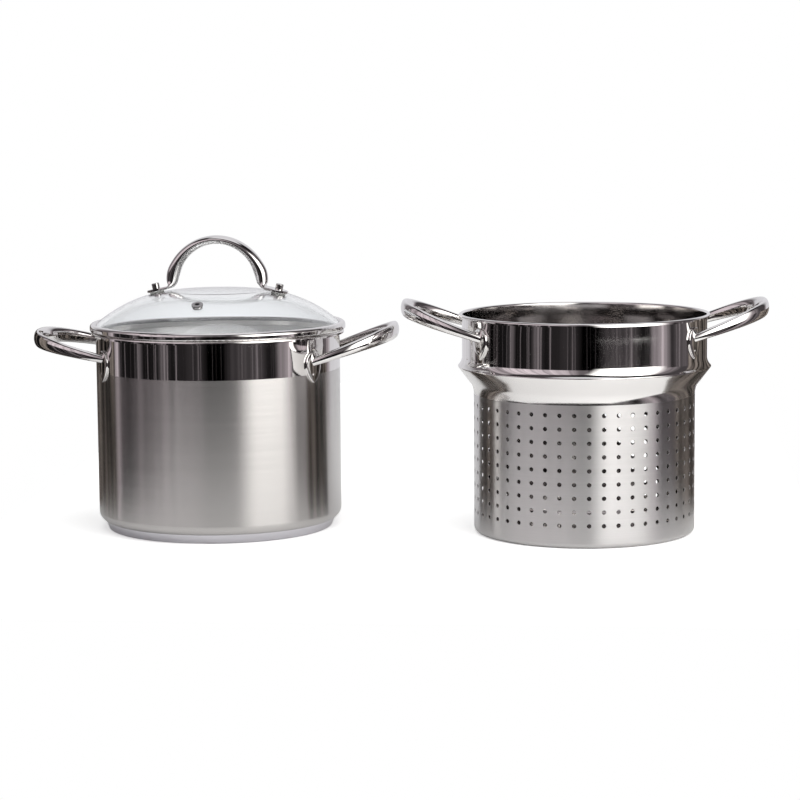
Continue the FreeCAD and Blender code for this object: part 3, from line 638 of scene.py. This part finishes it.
def build_glass(material):
    """The dome turned from its section, with two screw holes and the vent's hole cut."""
    dome = Dome()
    blank = piece_from("lid_glass_blank", *turn_profile(dome.profile(), even_angles(ROUND)),
                       [material])
    work = bmesh.new()
    for r, azimuth in ((SCREW, LID_TURN), (SCREW, LID_TURN + pi), (VENT, VENT_AT)):
        add_drill(work, r, azimuth, dome)
    cutter = new_object("lid_glass_drills", mesh_from(work, "lid_glass_drills"))
    cut = blank.modifiers.new("holes", "BOOLEAN")
    cut.operation = "DIFFERENCE"
    cut.solver = "EXACT"
    cut.object = cutter
    depsgraph = bpy.context.evaluated_depsgraph_get()
    mesh = bpy.data.meshes.new_from_object(blank.evaluated_get(depsgraph))
    bpy.data.objects.remove(blank)
    bpy.data.objects.remove(cutter)
    mesh.name = "lid_glass_dressed"
    normals = []
    for face in mesh.polygons:
        corners = [dome_normal(dome, mesh.vertices[k].co, face.normal) for k in face.vertices]
        if None in corners:
            corners = [Vector((0, 0, 0))] * len(corners)
        normals += corners
        face.use_smooth = True
    mark_sharp(mesh, 32)
    mesh.normals_split_custom_set(normals)
    return new_object("lid_glass_dressed", mesh)


def dome_normal(dome, place, facing):
    """The exact normal at a point of the dome's outer or inner face, or None off them."""
    r, z = hypot(place.x, place.y) / MM, place.z / MM
    centre_r, centre_z, radius = dome.centre(r, z)
    reach = hypot(r - centre_r, z - centre_z)
    if min(abs(reach - radius), abs(reach - radius + GLASS)) > 0.1:
        return None
    lean = atan2(r - centre_r, z - centre_z)
    azimuth = atan2(place.y, place.x)
    way = Vector((sin(lean) * cos(azimuth), sin(lean) * sin(azimuth),
                  cos(lean)))
    if abs(way.dot(facing)) < 0.98:
        return None
    return way if way.dot(facing) > 0 else -way


def mark_sharp(mesh, fold):
    """Keep crisp every edge that folds by more than an angle."""
    work = bmesh.new()
    work.from_mesh(mesh)
    for edge in work.edges:
        edge.smooth = edge.calc_face_angle(0) < radians(fold)
    work.to_mesh(mesh)
    work.free()


# Bent bars

def ellipse(centre, across, up, width, height):
    return [centre + across * (width / 2 * cos(turn)) + up * (height / 2 * sin(turn))
            for turn in even_angles(BAR_SIDES)]


def add_skin(work, rings, way, ends=True):
    """A closed skin over equal rings: a fan at each end, or the last joined to the first."""
    corners = [[work.verts.new(way @ place * MM) for place in ring] for ring in rings]
    pairs = list(zip(corners, corners[1:]))
    if ends:
        for ring in (corners[0], corners[-1]):
            middle = sum((corner.co for corner in ring), Vector()) / len(ring)
            pairs.append((ring, [work.verts.new(middle)] * len(ring)))
    else:
        pairs.append((corners[-1], corners[0]))
    for low, high in pairs:
        for number in range(len(low)):
            before = number - 1
            face = [low[before], low[number], high[number], high[before]]
            work.faces.new(list(dict.fromkeys(face)))


def bar_piece(name, work, material):
    """The skins in a work mesh as one smooth object."""
    bmesh.ops.recalc_face_normals(work, faces=work.faces)
    mesh = mesh_from(work, name)
    mesh.materials.append(material)
    mesh.polygons.foreach_set("use_smooth", [True] * len(mesh.polygons))
    mark_sharp(mesh, 40)
    return new_object(name, mesh)


def blend(first, last, share):
    """A section between two others."""
    return [a + (b - a) * share for a, b in zip(first, last)]


def handle_rings(radius, root_z, reach_out, slope):
    """Rings of a side handle's bar, from one foot round the grip to the other."""
    root = radius * cos(FOOT_ANGLE) - ARM_SINK
    reach = radius + reach_out - root
    half = radius * sin(FOOT_ANGLE)
    climb = tan(radians(slope))
    shares = [0.0, 0.01, 0.02] + [0.03 * step for step in range(1, 26)]
    angles = [asin(share ** (1 / GRIP_POWER)) for share in shares]
    rest = pi / 2 - angles[-1]
    angles += [angles[-1] + rest * step / 22 for step in range(1, 23)]
    stations = [(angle, 1) for angle in angles] + [(angle, -1) for angle in angles[-2::-1]]
    rings = []
    for angle, side in stations:
        x = root + reach * sin(angle) ** GRIP_POWER
        y = side * half * abs(cos(angle)) ** GRIP_POWER
        yaw = atan2(half * tan(angle) ** (2 - GRIP_POWER), reach)
        heading = -yaw if side > 0 else yaw - pi
        rise = atan(climb * cos(heading))
        across = Vector((-sin(heading), cos(heading), 0))
        up = Vector((-cos(heading) * sin(rise), -sin(heading) * sin(rise),
                     cos(rise)))
        ring = ellipse(Vector((x, y, root_z + climb * (x - radius))), across, up,
                       *blend(ARM, GRIP, sin(angle)))
        for place in ring:
            out = max(1.0, (radius - 0.3) / hypot(place.x, place.y))
            place.x *= out
            place.y *= out
        rings.append(ring)
    return rings


def petal_rings(radius, root_z, side):
    """Rings of a welded foot, round above and pointed below, from the wall outward."""
    shoulder, top, middle = -7.0, -6.0, -9.0
    arc = (FOOT_HALF ** 2 + FOOT_DROP ** 2) / (2 * FOOT_HALF)
    sweep = atan2(FOOT_DROP, arc - FOOT_HALF)
    flank = [(arc - FOOT_HALF - arc * cos(sweep * step / 14),
              shoulder - arc * sin(sweep * step / 14)) for step in range(15)]
    plan = flank + [(-w, z) for w, z in flank[-2::-1]]
    plan += [(FOOT_HALF * cos(pi * step / 30),
              FOOT_HALF * sin(pi * step / 30) + top) for step in range(31)]
    way = Matrix.Rotation(side * FOOT_ANGLE, 4, "Z")
    rings = []
    for depth, share in ((-0.2, 1.0), (FOOT_SHEET - 0.5, 1.0), (FOOT_SHEET - 0.17, 0.985),
                         (FOOT_SHEET, 0.95), (FOOT_SHEET, 0.6), (FOOT_SHEET, 0.25)):
        ring = []
        for w, z in plan:
            w, z = w * share, (z - middle) * share + middle
            ring.append(way @ Vector((sqrt((radius + depth) ** 2 - w * w), w,
                                      root_z + z)))
        rings.append(ring)
    return rings


def build_side_handle(name, radius, root_z, reach_out, slope, centre, turn, material):
    work = bmesh.new()
    way = Matrix.Translation((*centre, 0)) @ Matrix.Rotation(turn, 4, "Z")
    add_skin(work, handle_rings(radius, root_z, reach_out, slope), way)
    for side in (-1, 1):
        add_skin(work, petal_rings(radius, root_z, side), way)
    return bar_piece(name, work, material)


def flowing(keys, steps):
    """Stations along a smooth curve through keys."""
    spans = [(after - before).length for before, after in zip(keys, keys[1:])]
    chords = [(after - before) / span for before, after, span in zip(keys, keys[1:], spans)]
    slopes = [chords[0]]
    for number in range(1, len(spans)):
        before, after = spans[number - 1], spans[number]
        slopes.append((chords[number - 1] * after + chords[number] * before)
                      / (before + after))
    slopes.append(chords[-1])
    stations = []
    for number, span in enumerate(spans):
        for step in range(steps):
            t = step / steps
            stations.append(keys[number] * (1 + 2 * t) * (1 - t) ** 2
                            + slopes[number] * span * t * (1 - t) ** 2
                            + keys[number + 1] * t * t * (3 - 2 * t)
                            + slopes[number + 1] * span * t * t * (t - 1))
    return stations + [keys[-1]]


def arch_rings():
    """Rings of the lid's handle, from one tab over the crown to the other."""
    height, lean = Dome().at(SCREW)
    bend_z = height + (TAB_MIDDLE + ARCH_BEND + (SCREW - ARCH_BEND_R) * sin(lean)) \
        / cos(lean)

    def bend(turn, lead=0):
        return (ARCH_BEND_R - ARCH_BEND * sin(turn) + lead * cos(turn),
                bend_z - ARCH_BEND * cos(turn) - lead * sin(turn))

    keys = [Vector((*bend(lean, lead), *ARCH_END)) for lead in (4, 2, 0)]
    for angle, share in ((30, 0.1), (55, 0.45), (85, 1.0)):
        keys.append(Vector((*bend(radians(angle)), *blend(ARCH_END, ARCH_FOOT, share))))
    for angle, share in ((18, 0.0), (32, 0.35), (47, 0.65), (68, 0.9), (90, 1.0)):
        turn = radians(angle)
        keys.append(Vector((ARCH_HALF * cos(turn),
                            bend_z - ARCH_BEND + ARCH_TALL * sin(turn),
                            *blend(ARCH_LEG, ARCH_CROWN, share))))
    keys += [Vector((-key[0], *key[1:])) for key in keys[-2::-1]]
    stations = flowing(keys, 10)
    rings = []
    for number, station in enumerate(stations):
        before = stations[max(number - 1, 0)]
        after = stations[min(number + 1, len(stations) - 1)]
        along = Vector((after[0] - before[0], 0, after[1] - before[1])).normalized()
        across = Vector((0, 1, 0))
        rings.append(ellipse(Vector((station[0], 0, station[1])), across,
                             along.cross(across), station[2], station[3]))
    return rings


def tab_rings(side):
    """Rings round the screw's bore in one flat tab, with a round end and soft edges."""
    height, lean = Dome().at(SCREW)
    near = (SCREW - ARCH_BEND_R) / cos(lean) \
        + (TAB_MIDDLE + ARCH_BEND) * tan(lean) + 1.6
    way = (Matrix.Rotation(side, 4, "Z") @ Matrix.Translation((SCREW, 0, height))
           @ Matrix.Rotation(lean, 4, "Y"))
    corner = atan2(TAB_HALF, -near)
    turns = sorted([pi * step / 36 for step in range(-36, 36)] + [corner, -corner])
    rings = []
    for turn in turns:
        reach = TAB_HALF
        if cos(turn) < 0:
            reach = min(TAB_HALF / max(abs(sin(turn)), 1e-6), -near / cos(turn))
        section = ((TAB_BORE, TAB_LOW), (reach - TAB_EDGE, TAB_LOW),
                   (reach, TAB_LOW + TAB_EDGE), (reach, TAB_HIGH - TAB_EDGE),
                   (reach - TAB_EDGE, TAB_HIGH), (TAB_BORE, TAB_HIGH))
        rings.append([way @ Vector((r * cos(turn), r * sin(turn), z))
                      for r, z in section])
    return rings


def build_lid_handle(material):
    work = bmesh.new()
    way = Matrix.Rotation(LID_TURN, 4, "Z")
    add_skin(work, arch_rings(), way)
    for side in (0, pi):
        add_skin(work, tab_rings(side), way, ends=False)
    return bar_piece("lid_handle_dressed", work, material)


# Insert

def tile_angles(columns):
    """Where the corners of the rolled tiles fall round the wall."""
    angles = []
    for column in range(columns):
        for step in range(HOLE_SIDES // 4):
            slant = radians(-45 + 360 * step / HOLE_SIDES)
            angles.append((column + 0.5 * tan(slant)) * 2 * pi / columns)
    return angles


def floor_sheet(angles, rings, pitch, step, radius):
    """A flat disc with rings of holes: its points, and its triangles."""
    centres = [(0.0, 0.0)]
    for ring in range(1, rings + 1):
        centres += [(ring * pitch * cos(a), ring * pitch * sin(a))
                    for a in even_angles(ring * step)]
    points = [(FLOOR_EDGE * cos(a), FLOOR_EDGE * sin(a)) for a in angles]
    edges = [(k, (k + 1) % len(angles)) for k in range(len(angles))]
    for x, y in centres:
        first = len(points)
        points += [(x + radius * cos(a), y + radius * sin(a))
                   for a in even_angles(HOLE_SIDES)]
        edges += [(first + k, first + (k + 1) % HOLE_SIDES) for k in range(HOLE_SIDES)]
    found = delaunay_2d_cdt([Vector(p) for p in points], edges, [], 1, 1e-6)
    flat = [tuple(p) for p in found[0]]
    kept = []
    for face in found[2]:
        x = sum(flat[k][0] for k in face) / 3
        y = sum(flat[k][1] for k in face) / 3
        if all(hypot(x - cx, y - cy) > radius * 0.98 for cx, cy in centres):
            kept.append(face)
    return flat, kept, centres


def build_insert(setup, finishes):
    """Basket, shoulder, bead, collar and lip in one sheet, with every hole cut through."""
    sizes = {
        "Columns": setup.hole_columns, "Rows": setup.hole_rows, "Sides": HOLE_SIDES,
        "Hole radius": setup.hole_diameter / 2, "Row pitch": setup.row_pitch,
        "First row": setup.first_row, "Wall radius": BASKET * MM,
        "Sheet": INSERT_SHEET * MM}
    wall = perforated_wall(sizes, finishes[0])
    low = (setup.first_row - setup.row_pitch / 2) / MM
    high = low + setup.row_pitch * setup.hole_rows / MM
    angles = tile_angles(setup.hole_columns)
    verts, faces, _, kinds = turn_profile(insert_profile(low, high), angles)
    flat, triangles, centres = floor_sheet(
        angles, setup.floor_rings, setup.floor_pitch / MM, 6, setup.hole_diameter / 2 / MM)
    work = bmesh.new()
    made = [work.verts.new(v) for v in verts]
    for face, kind in zip(faces, kinds):
        work.faces.new([made[k] for k in face]).material_index = kind
    layers = []
    for height, kind in ((0, 0), (INSERT_SHEET * MM, 2)):
        layer = [work.verts.new((x * MM, y * MM, height)) for x, y in flat]
        layers.append(layer)
        for face in triangles:
            work.faces.new([layer[k] for k in face]).material_index = kind
    for number in range(len(centres)):
        first = len(angles) + number * HOLE_SIDES
        for k in range(HOLE_SIDES):
            a, b = first + k, first + (k + 1) % HOLE_SIDES
            work.faces.new([layers[0][a], layers[0][b], layers[1][b], layers[1][a]])
    work.from_mesh(wall)
    bmesh.ops.remove_doubles(work, verts=work.verts, dist=0.00003)
    bmesh.ops.recalc_face_normals(work, faces=work.faces)
    open_edges = sum(1 for edge in work.edges if not edge.is_manifold)
    if open_edges:
        raise RuntimeError("the insert has %d open edges" % open_edges)
    if work.calc_volume(signed=True) < 0:
        bmesh.ops.reverse_faces(work, faces=work.faces)
    for face in work.faces:
        face.smooth = True
    mesh = mesh_from(work, "insert_body_dressed")
    smooth_corners(mesh, low * MM, high * MM)
    for finish in finishes:
        mesh.materials.append(finish)
    bpy.data.meshes.remove(wall)
    mesh.transform(Matrix.Translation((INSERT_AT[0] * MM, INSERT_AT[1] * MM, 0))
                   @ Matrix.Rotation(INSERT_TURN, 4, "Z"))
    return new_object("insert_body_dressed", mesh)


def smooth_corners(mesh, low, high):
    """On the perforated wall, point each corner's normal along its radius, so the holes
    leave no dents in the reflections; elsewhere keep folds crisp."""
    middle_r = (BASKET - INSERT_SHEET / 2) * MM
    normals = []
    for face in mesh.polygons:
        reach = hypot(face.center.x, face.center.y)
        level = abs(face.normal.z) < 0.2 and low < face.center.z < high
        radial = abs(face.normal.x * face.center.x + face.normal.y * face.center.y) / reach
        if not (level and radial > 0.95):
            normals += [Vector((0, 0, 0))] * len(face.vertices)
            continue
        sign = 1 if reach > middle_r else -1
        face.material_index = 0 if sign > 0 else 2
        for corner in face.vertices:
            place = mesh.vertices[corner].co
            normals.append(Vector((place.x, place.y, 0)).normalized() * sign)
    mark_sharp(mesh, 32)
    mesh.normals_split_custom_set(normals)


# Panel and operators

def length_choice(name, description, default):
    return FloatProperty(name=name, description=description, default=default,
                         unit="LENGTH", precision=4)


def colour_choice(name, description, default):
    return FloatVectorProperty(name=name, description=description, default=default,
                               subtype="COLOR", size=3, min=0, max=1)


class PotSetup(bpy.types.PropertyGroup):
    band_height: length_choice("Polished band from", "Height where the brushing ends", 0.1454)
    steel: colour_choice("Steel", "Colour of the polished steel", (0.80, 0.785, 0.775))
    brushed: colour_choice("Brushed steel", "Colour of the brushed body",
                           (0.58, 0.565, 0.555))


class InsertSetup(bpy.types.PropertyGroup):
    hole_columns: IntProperty(name="Columns", description="Holes round the wall",
                              default=48, min=8, max=96)
    hole_rows: IntProperty(name="Rows", description="Rows of holes up the wall",
                           default=9, min=1, max=12)
    hole_diameter: length_choice("Hole", "Diameter of a hole", 0.004)
    row_pitch: length_choice("Row pitch", "Height from row to row", 0.012)
    first_row: length_choice("First row", "Height of the lowest row", 0.0202)
    floor_rings: IntProperty(name="Floor rings", description="Rings of holes in the floor",
                             default=3, min=1, max=3)
    floor_pitch: length_choice("Ring pitch", "Distance from ring to ring", 0.024)


class StageSetup(bpy.types.PropertyGroup):
    lens: FloatProperty(name="Lens", description="Focal length of the camera",
                        default=114.435, unit="CAMERA")
    floor_colour: colour_choice("Floor", "Colour of the floor", (0.9, 0.9, 0.9))


class POT_OT_body(bpy.types.Operator):
    """Build the pot's shell with its brushed wall and polished band"""
    bl_idname = "pasta_pot.body"
    bl_label = "Pot body"

    def execute(self, context):
        setup = context.scene.pasta_pot
        finishes = [
            brushed_steel("body_brushed", setup.brushed, 0.25, 1.0, 0.12),
            polished_steel("body_polished", setup.steel, 0.045, 0.12),
            # The inside is the same steel sheet as the outside but coloured far paler: painted
            # light that brightens the pot's interior.
            brushed_steel("body_inside_painted_light", (0.86, 0.85, 0.84), 0.42, 0.95, 0.1),
        ]
        section = pot_profile(setup.band_height / MM)
        shell = piece_from("pot_shell_dressed", *turn_profile(section, even_angles(ROUND)),
                           finishes)
        seat(shell, "brushed_shell", "pot_shell")
        dress("pot_base_cap", polished_steel("base_polished", (0.72, 0.71, 0.75), 0.12))
        dress("pot_base_core", brushed_steel("core_aluminium", (0.78, 0.78, 0.79), 0.4,
                                             0.3, 0.2))
        return {"FINISHED"}


class POT_OT_handles(bpy.types.Operator):
    """Build the side handles, and add the weld dots on their feet"""
    bl_idname = "pasta_pot.handles"
    bl_label = "Side handles"

    def execute(self, context):
        finish = polished_steel("handle_polished", context.scene.pasta_pot.steel, 0.04)
        spots = []
        for node, radius, root_z, reach_out, slope, centre, turn in SIDE_HANDLES:
            handle = build_side_handle(node + "_dressed", radius, root_z, reach_out, slope,
                                       centre, turn, finish)
            seat(handle, "polished_steel", node)
            for foot in (-FOOT_ANGLE, FOOT_ANGLE):
                for drop, lean in ((5.5, 0.6), (16.5, -0.6)):
                    angle = turn + foot + radians(lean)
                    way = Vector((cos(angle), sin(angle), 0))
                    spot = way * (radius + FOOT_SHEET - 0.1) + Vector((*centre, root_z - drop))
                    spots.append((spot * MM, way))
        dots = weld_dots(spots, {"Dot radius": 1.1 * MM, "Flatness": 0.45}, finish)
        seat(new_object("weld_dots", dots), "polished_steel")
        return {"FINISHED"}


class POT_OT_lid(bpy.types.Operator):
    """Build the lid's glass and handle, and dress its band, fixings and steam vent"""
    bl_idname = "pasta_pot.lid"
    bl_label = "Lid"

    def execute(self, context):
        setup = context.scene.pasta_pot
        seat(build_glass(clear_glass()), "clear_glass", "lid_glass")
        dress("lid_rim_band", polished_steel("band_polished", setup.steel, 0.05))
        seat(build_lid_handle(polished_steel("arch_polished", setup.steel, 0.05)),
             "polished_steel", "lid_handle")
        fixings = polished_steel("fixing_polished", (0.62, 0.61, 0.60), 0.14)
        washer = soft_washer()
        for side in ("left", "right"):
            dress("lid_barrel_nut_" + side, fixings)
            dress("lid_screw_" + side, fixings)
            dress("lid_upper_washer_" + side, washer)
            dress("lid_lower_washer_" + side, washer)
        dress("steam_vent", polished_steel("vent_polished", (0.36, 0.35, 0.35), 0.16))
        return {"FINISHED"}


class POT_OT_insert(bpy.types.Operator):
    """Build the perforated insert in one closed sheet"""
    bl_idname = "pasta_pot.insert"
    bl_label = "Insert"

    def execute(self, context):
        setup = context.scene.pasta_pot
        centre = (INSERT_AT[0] * MM, INSERT_AT[1] * MM, 0)
        finishes = [
            brushed_steel("basket_satin", (0.58, 0.57, 0.57), 0.29, 1.0, 0.12, centre),
            polished_steel("collar_polished", setup.steel, 0.045, 0.18),
            polished_steel("basket_inside", (0.64, 0.62, 0.61), 0.09, 0.25),
            polished_steel("shoulder_polished", setup.steel, 0.16),
        ]
        insert = build_insert(context.scene.pasta_insert, finishes)
        seat(insert, "insert_steel", "insert_body")
        return {"FINISHED"}


class POT_OT_stage(bpy.types.Operator):
    """Set the pale floor, the soft studio light and the camera"""
    bl_idname = "pasta_pot.stage"
    bl_label = "Stage"

    def execute(self, context):
        setup = context.scene.pasta_stage
        make_floor(setup)
        make_world(context.scene)
        make_lamps()
        make_camera(context.scene, setup)
        context.scene.view_settings.view_transform = "Standard"
        return {"FINISHED"}


def card(name, corners, finish):
    """A flat card of the studio, and the empty tree of its finish."""
    mesh = bpy.data.meshes.new(name)
    mesh.from_pydata(corners, [], [(0, 1, 2, 3)])
    material, tree = empty_material(finish)
    mesh.materials.append(material)
    return new_object(name, mesh), tree


def make_floor(setup):
    """A pale table top, seen white by the camera except in the object's shadow."""
    x0, x1, y0, y1 = -0.21, 0.54, -0.42, 1.1
    floor, tree = card("floor", [(x0, y0, 0), (x1, y0, 0), (x1, y1, 0), (x0, y1, 0)],
                       "floor_pale")
    cloth = tree.out("ShaderNodeBsdfDiffuse", {"Color": (*setup.floor_colour, 1)})
    glow = tree.out("ShaderNodeEmission", {"Strength": 0.45})
    lit = tree.out("ShaderNodeAddShader", {0: cloth, 1: glow})
    tree.add("ShaderNodeOutputMaterial", {"Surface": tree.shade(tree.seen(), cloth, lit)})


# The studio that the metal shows: white behind the object, and in front a dim room.  A band
# is (degrees round from the camera's side, brightness), set for reflections like the
# photograph's.  The level band has a few narrow gaps of light, and above it hang pale cloths
# with black cloth between them.
LEVEL_BAND = [
    (-180, 0.76), (-150, 0.74), (-137, 0.70), (-129, 0.24), (-118, 0.05), (-108, 0.14),
    (-101, 0.45), (-95, 0.01), (-75, 0.01), (-70, 0.14), (-65, 0.01), (-50, 0.01),
    (-43, 0.12), (-36, 0.01), (-22, 0.02), (-10, 0.04), (0, 0.0), (14, 0.0), (20, 0.05),
    (45, 0.08), (56, 0.01), (63, 0.01), (68, 0.24), (80, 0.40), (90, 0.04), (110, 0.14),
    (117, 0.05), (130, 0.10), (136, 0.40), (142, 0.76),
]
UPPER_BAND = [
    (-180, 0.82), (-150, 0.76), (-138, 0.50), (-128, 0.20), (-118, 0.20), (-109, 0.06),
    (-97, 0.58), (-88, 0.22), (-80, 0.72), (-58, 0.84), (-40, 0.66), (-15, 0.54),
    (-2, 0.16), (20, 0.12), (60, 0.30), (85, 0.35), (95, 0.20), (106, 0.08), (130, 0.06),
    (142, 0.60), (155, 0.82),
]
ROOM_TINT = (1.0, 0.88, 0.93)
WHITE_TINT = (0.97, 0.96, 1.0)
WHITE_FROM = 136
CEILING = (0.88, 0.87, 0.90, 1)

# Where one thing fades into the next: radians round, and heights on the unit sphere.
BEHIND = (2.2, 2.5)
UPPER_FROM = (0.10, 0.18)
GAP_FROM = (0.68, 0.78)
CEILING_FROM = (0.90, 0.95)


def band_ramp(tree, turn, stops):
    return tree.ramp(turn, *(
        ((angle + 180) / 360,
         [grey * part for part in (WHITE_TINT if abs(angle) > WHITE_FROM else ROOM_TINT)])
        for angle, grey in stops))


def make_world(scene):
    """White behind the object; in the metal, a dim room with pale cloths and dark gaps."""
    world = bpy.data.worlds.new("studio")
    world.use_nodes = True
    world.node_tree.nodes.clear()
    tree = Tree(world.node_tree)
    direction = tree.add("ShaderNodeTexCoord").outputs["Generated"]
    way = tree.split(direction)
    around = tree.math("ARCTAN2", way[0], tree.times(way[1], -1.0))
    turn = tree.plus(tree.over(around, 2 * pi), 0.5)
    behind = tree.fade(tree.math("ABSOLUTE", around), BEHIND)
    upright = tree.vector("NORMALIZE", tree.vector("MULTIPLY", direction, (1, 1, 0)))
    folds = tree.span(tree.noise(upright, (13, 13, 1), 3.0, 0.6), 0.3, 0.7, 0.6, 1.4)
    slits = tree.fade(tree.noise(upright, (26, 26, 1), 2.0), (0.56, 0.70), 0.0, 0.16)
    gap = tree.fade(way[2], GAP_FROM, 1.0, 0.08)
    level = tree.vector("ADD", band_ramp(tree, turn, LEVEL_BAND),
                        tree.vector("SCALE", ROOM_TINT, scale=slits))
    upper = tree.vector("SCALE", band_ramp(tree, turn, UPPER_BAND),
                        scale=tree.mix(behind, gap, 1.0))
    room = tree.mix(tree.fade(way[2], UPPER_FROM), level, upper, "RGBA")
    room = tree.vector("SCALE", room, scale=tree.mix(behind, folds, 1.0))
    whole = tree.mix(tree.fade(way[2], CEILING_FROM), room, CEILING, "RGBA")

    def glow(colour, strength):
        return tree.out("ShaderNodeBackground", {"Color": colour, "Strength": strength})

    glossy = tree.add("ShaderNodeLightPath").outputs["Is Glossy Ray"]
    lit = tree.shade(glossy, glow((1, 1, 1, 1), 0.5), glow(whole, 1.0))
    sky = tree.shade(tree.seen(), lit, glow((1, 1, 1, 1), 1.0))
    tree.add("ShaderNodeOutputWorld", {"Surface": sky})
    scene.world = world


def make_lamps():
    """A lamp overhead, a screen at the front right, and dark flags beside the walls."""
    lamp = bpy.data.lights.new("overhead", "AREA")
    lamp.shape = "DISK"
    lamp.size = 1.6
    lamp.energy = 15.0
    holder = new_object("overhead", lamp)
    holder.matrix_world = facing((0.15, -0.3, 1.9), (0.15, 0, 0.1))
    holder.visible_glossy = False
    make_screen("key_screen", (0.80, -0.56, 0.52), (0.17, 0, 0.30), 1.2, 0.84, 3.4)
    make_flag("left_flag", (-0.18, -0.05), (-0.18, 0.045), 0.19)
    make_flag("left_back_flag", (-0.18, 0.045), (-0.13, 0.13), 0.19)
    make_flag("middle_flag", (0.175, -0.05), (0.175, 0.026), 0.15)
    make_flag("right_flag", (0.52, -0.03), (0.46, 0.10), 0.20)


def make_flag(name, left, right, height):
    """An upright card of dark folded cloth that only the metal shows, as a dark edge."""
    foot = 0.002
    flag, tree = card(name, [(*left, foot), (*right, foot), (*right, height),
                             (*left, height)], name + "_black")
    for rays in ("camera", "diffuse", "transmission", "shadow"):
        setattr(flag, "visible_" + rays, False)
    place = tree.add("ShaderNodeTexCoord").outputs["Object"]
    tone = tree.ramp(tree.noise(place, (90, 90, 4), 2.0, 0.6),
                     (0.40, (0.01, 0.01, 0.01)), (0.64, (0.46, 0.40, 0.36)))
    cloth = tree.add("ShaderNodeBsdfDiffuse", {"Color": tone})
    tree.add("ShaderNodeOutputMaterial", {"Surface": cloth.outputs[0]})


def facing(place, target):
    """A matrix at one place whose -Z looks at another."""
    way = Vector(target) - Vector(place)
    return Matrix.Translation(place) @ way.to_track_quat("-Z", "Y").to_matrix().to_4x4()


def make_screen(name, place, target, width, height, strength):
    """A glowing screen, brightest in the middle and fading to its upright edges."""
    x, y = width / 2, height / 2
    screen, tree = card(name, [(-x, -y, 0), (-x, y, 0), (x, y, 0), (x, -y, 0)],
                        name + "_glow")
    screen.matrix_world = facing(place, target)
    screen.visible_camera = False
    across = tree.split(tree.add("ShaderNodeTexCoord").outputs["Object"])[0]
    fade = tree.fade(tree.math("ABSOLUTE", across), (0.16 * width, 0.5 * width))
    glow = tree.add("ShaderNodeEmission", {"Color": (1, 0.985, 0.96, 1),
                                           "Strength": strength})
    clear = tree.add("ShaderNodeBsdfTransparent")
    tree.add("ShaderNodeOutputMaterial", {
        "Surface": tree.shade(fade, glow.outputs[0], clear.outputs[0])})


def make_camera(scene, setup):
    camera = bpy.data.cameras.new("camera")
    camera.lens = setup.lens
    camera.sensor_width = 36.0
    camera.clip_end = 50
    holder = new_object("camera", camera)
    holder.matrix_world = (Matrix.Translation((0.3818, -2.2823, 0.4029))
                           @ Matrix.Rotation(radians(5.4), 4, "Z")
                           @ Matrix.Rotation(radians(90 - 7.145), 4, "X")
                           @ Matrix.Rotation(radians(-0.449), 4, "Z"))
    scene.camera = holder


class POT_PT_panel(bpy.types.Panel):
    """Sizes, colours and steps of the pasta pot"""
    bl_label = "Pasta Pot"
    bl_idname = "POT_PT_panel"
    bl_space_type = "VIEW_3D"
    bl_region_type = "UI"
    bl_category = "Pasta Pot"

    def draw(self, context):
        layout = self.layout
        for group in (context.scene.pasta_pot, context.scene.pasta_insert,
                      context.scene.pasta_stage):
            column = layout.column()
            for name in group.__annotations__:
                column.prop(group, name)
        for operator in OPERATORS:
            layout.operator(operator.bl_idname)


OPERATORS = (POT_OT_body, POT_OT_handles, POT_OT_lid, POT_OT_insert, POT_OT_stage)
GROUPS = {"pasta_pot": PotSetup, "pasta_insert": InsertSetup, "pasta_stage": StageSetup}


def register():
    for group in GROUPS.values():
        bpy.utils.register_class(group)
    for operator in OPERATORS:
        bpy.utils.register_class(operator)
    bpy.utils.register_class(POT_PT_panel)
    for name, group in GROUPS.items():
        setattr(bpy.types.Scene, name, PointerProperty(type=group))


def unregister():
    for name in GROUPS:
        delattr(bpy.types.Scene, name)
    bpy.utils.unregister_class(POT_PT_panel)
    for operator in reversed(OPERATORS):
        bpy.utils.unregister_class(operator)
    for group in GROUPS.values():
        bpy.utils.unregister_class(group)


def main():
    register()
    for operator in OPERATORS:
        group, name = operator.bl_idname.split(".")
        getattr(getattr(bpy.ops, group), name)()


if __name__ == "__main__":
    main()
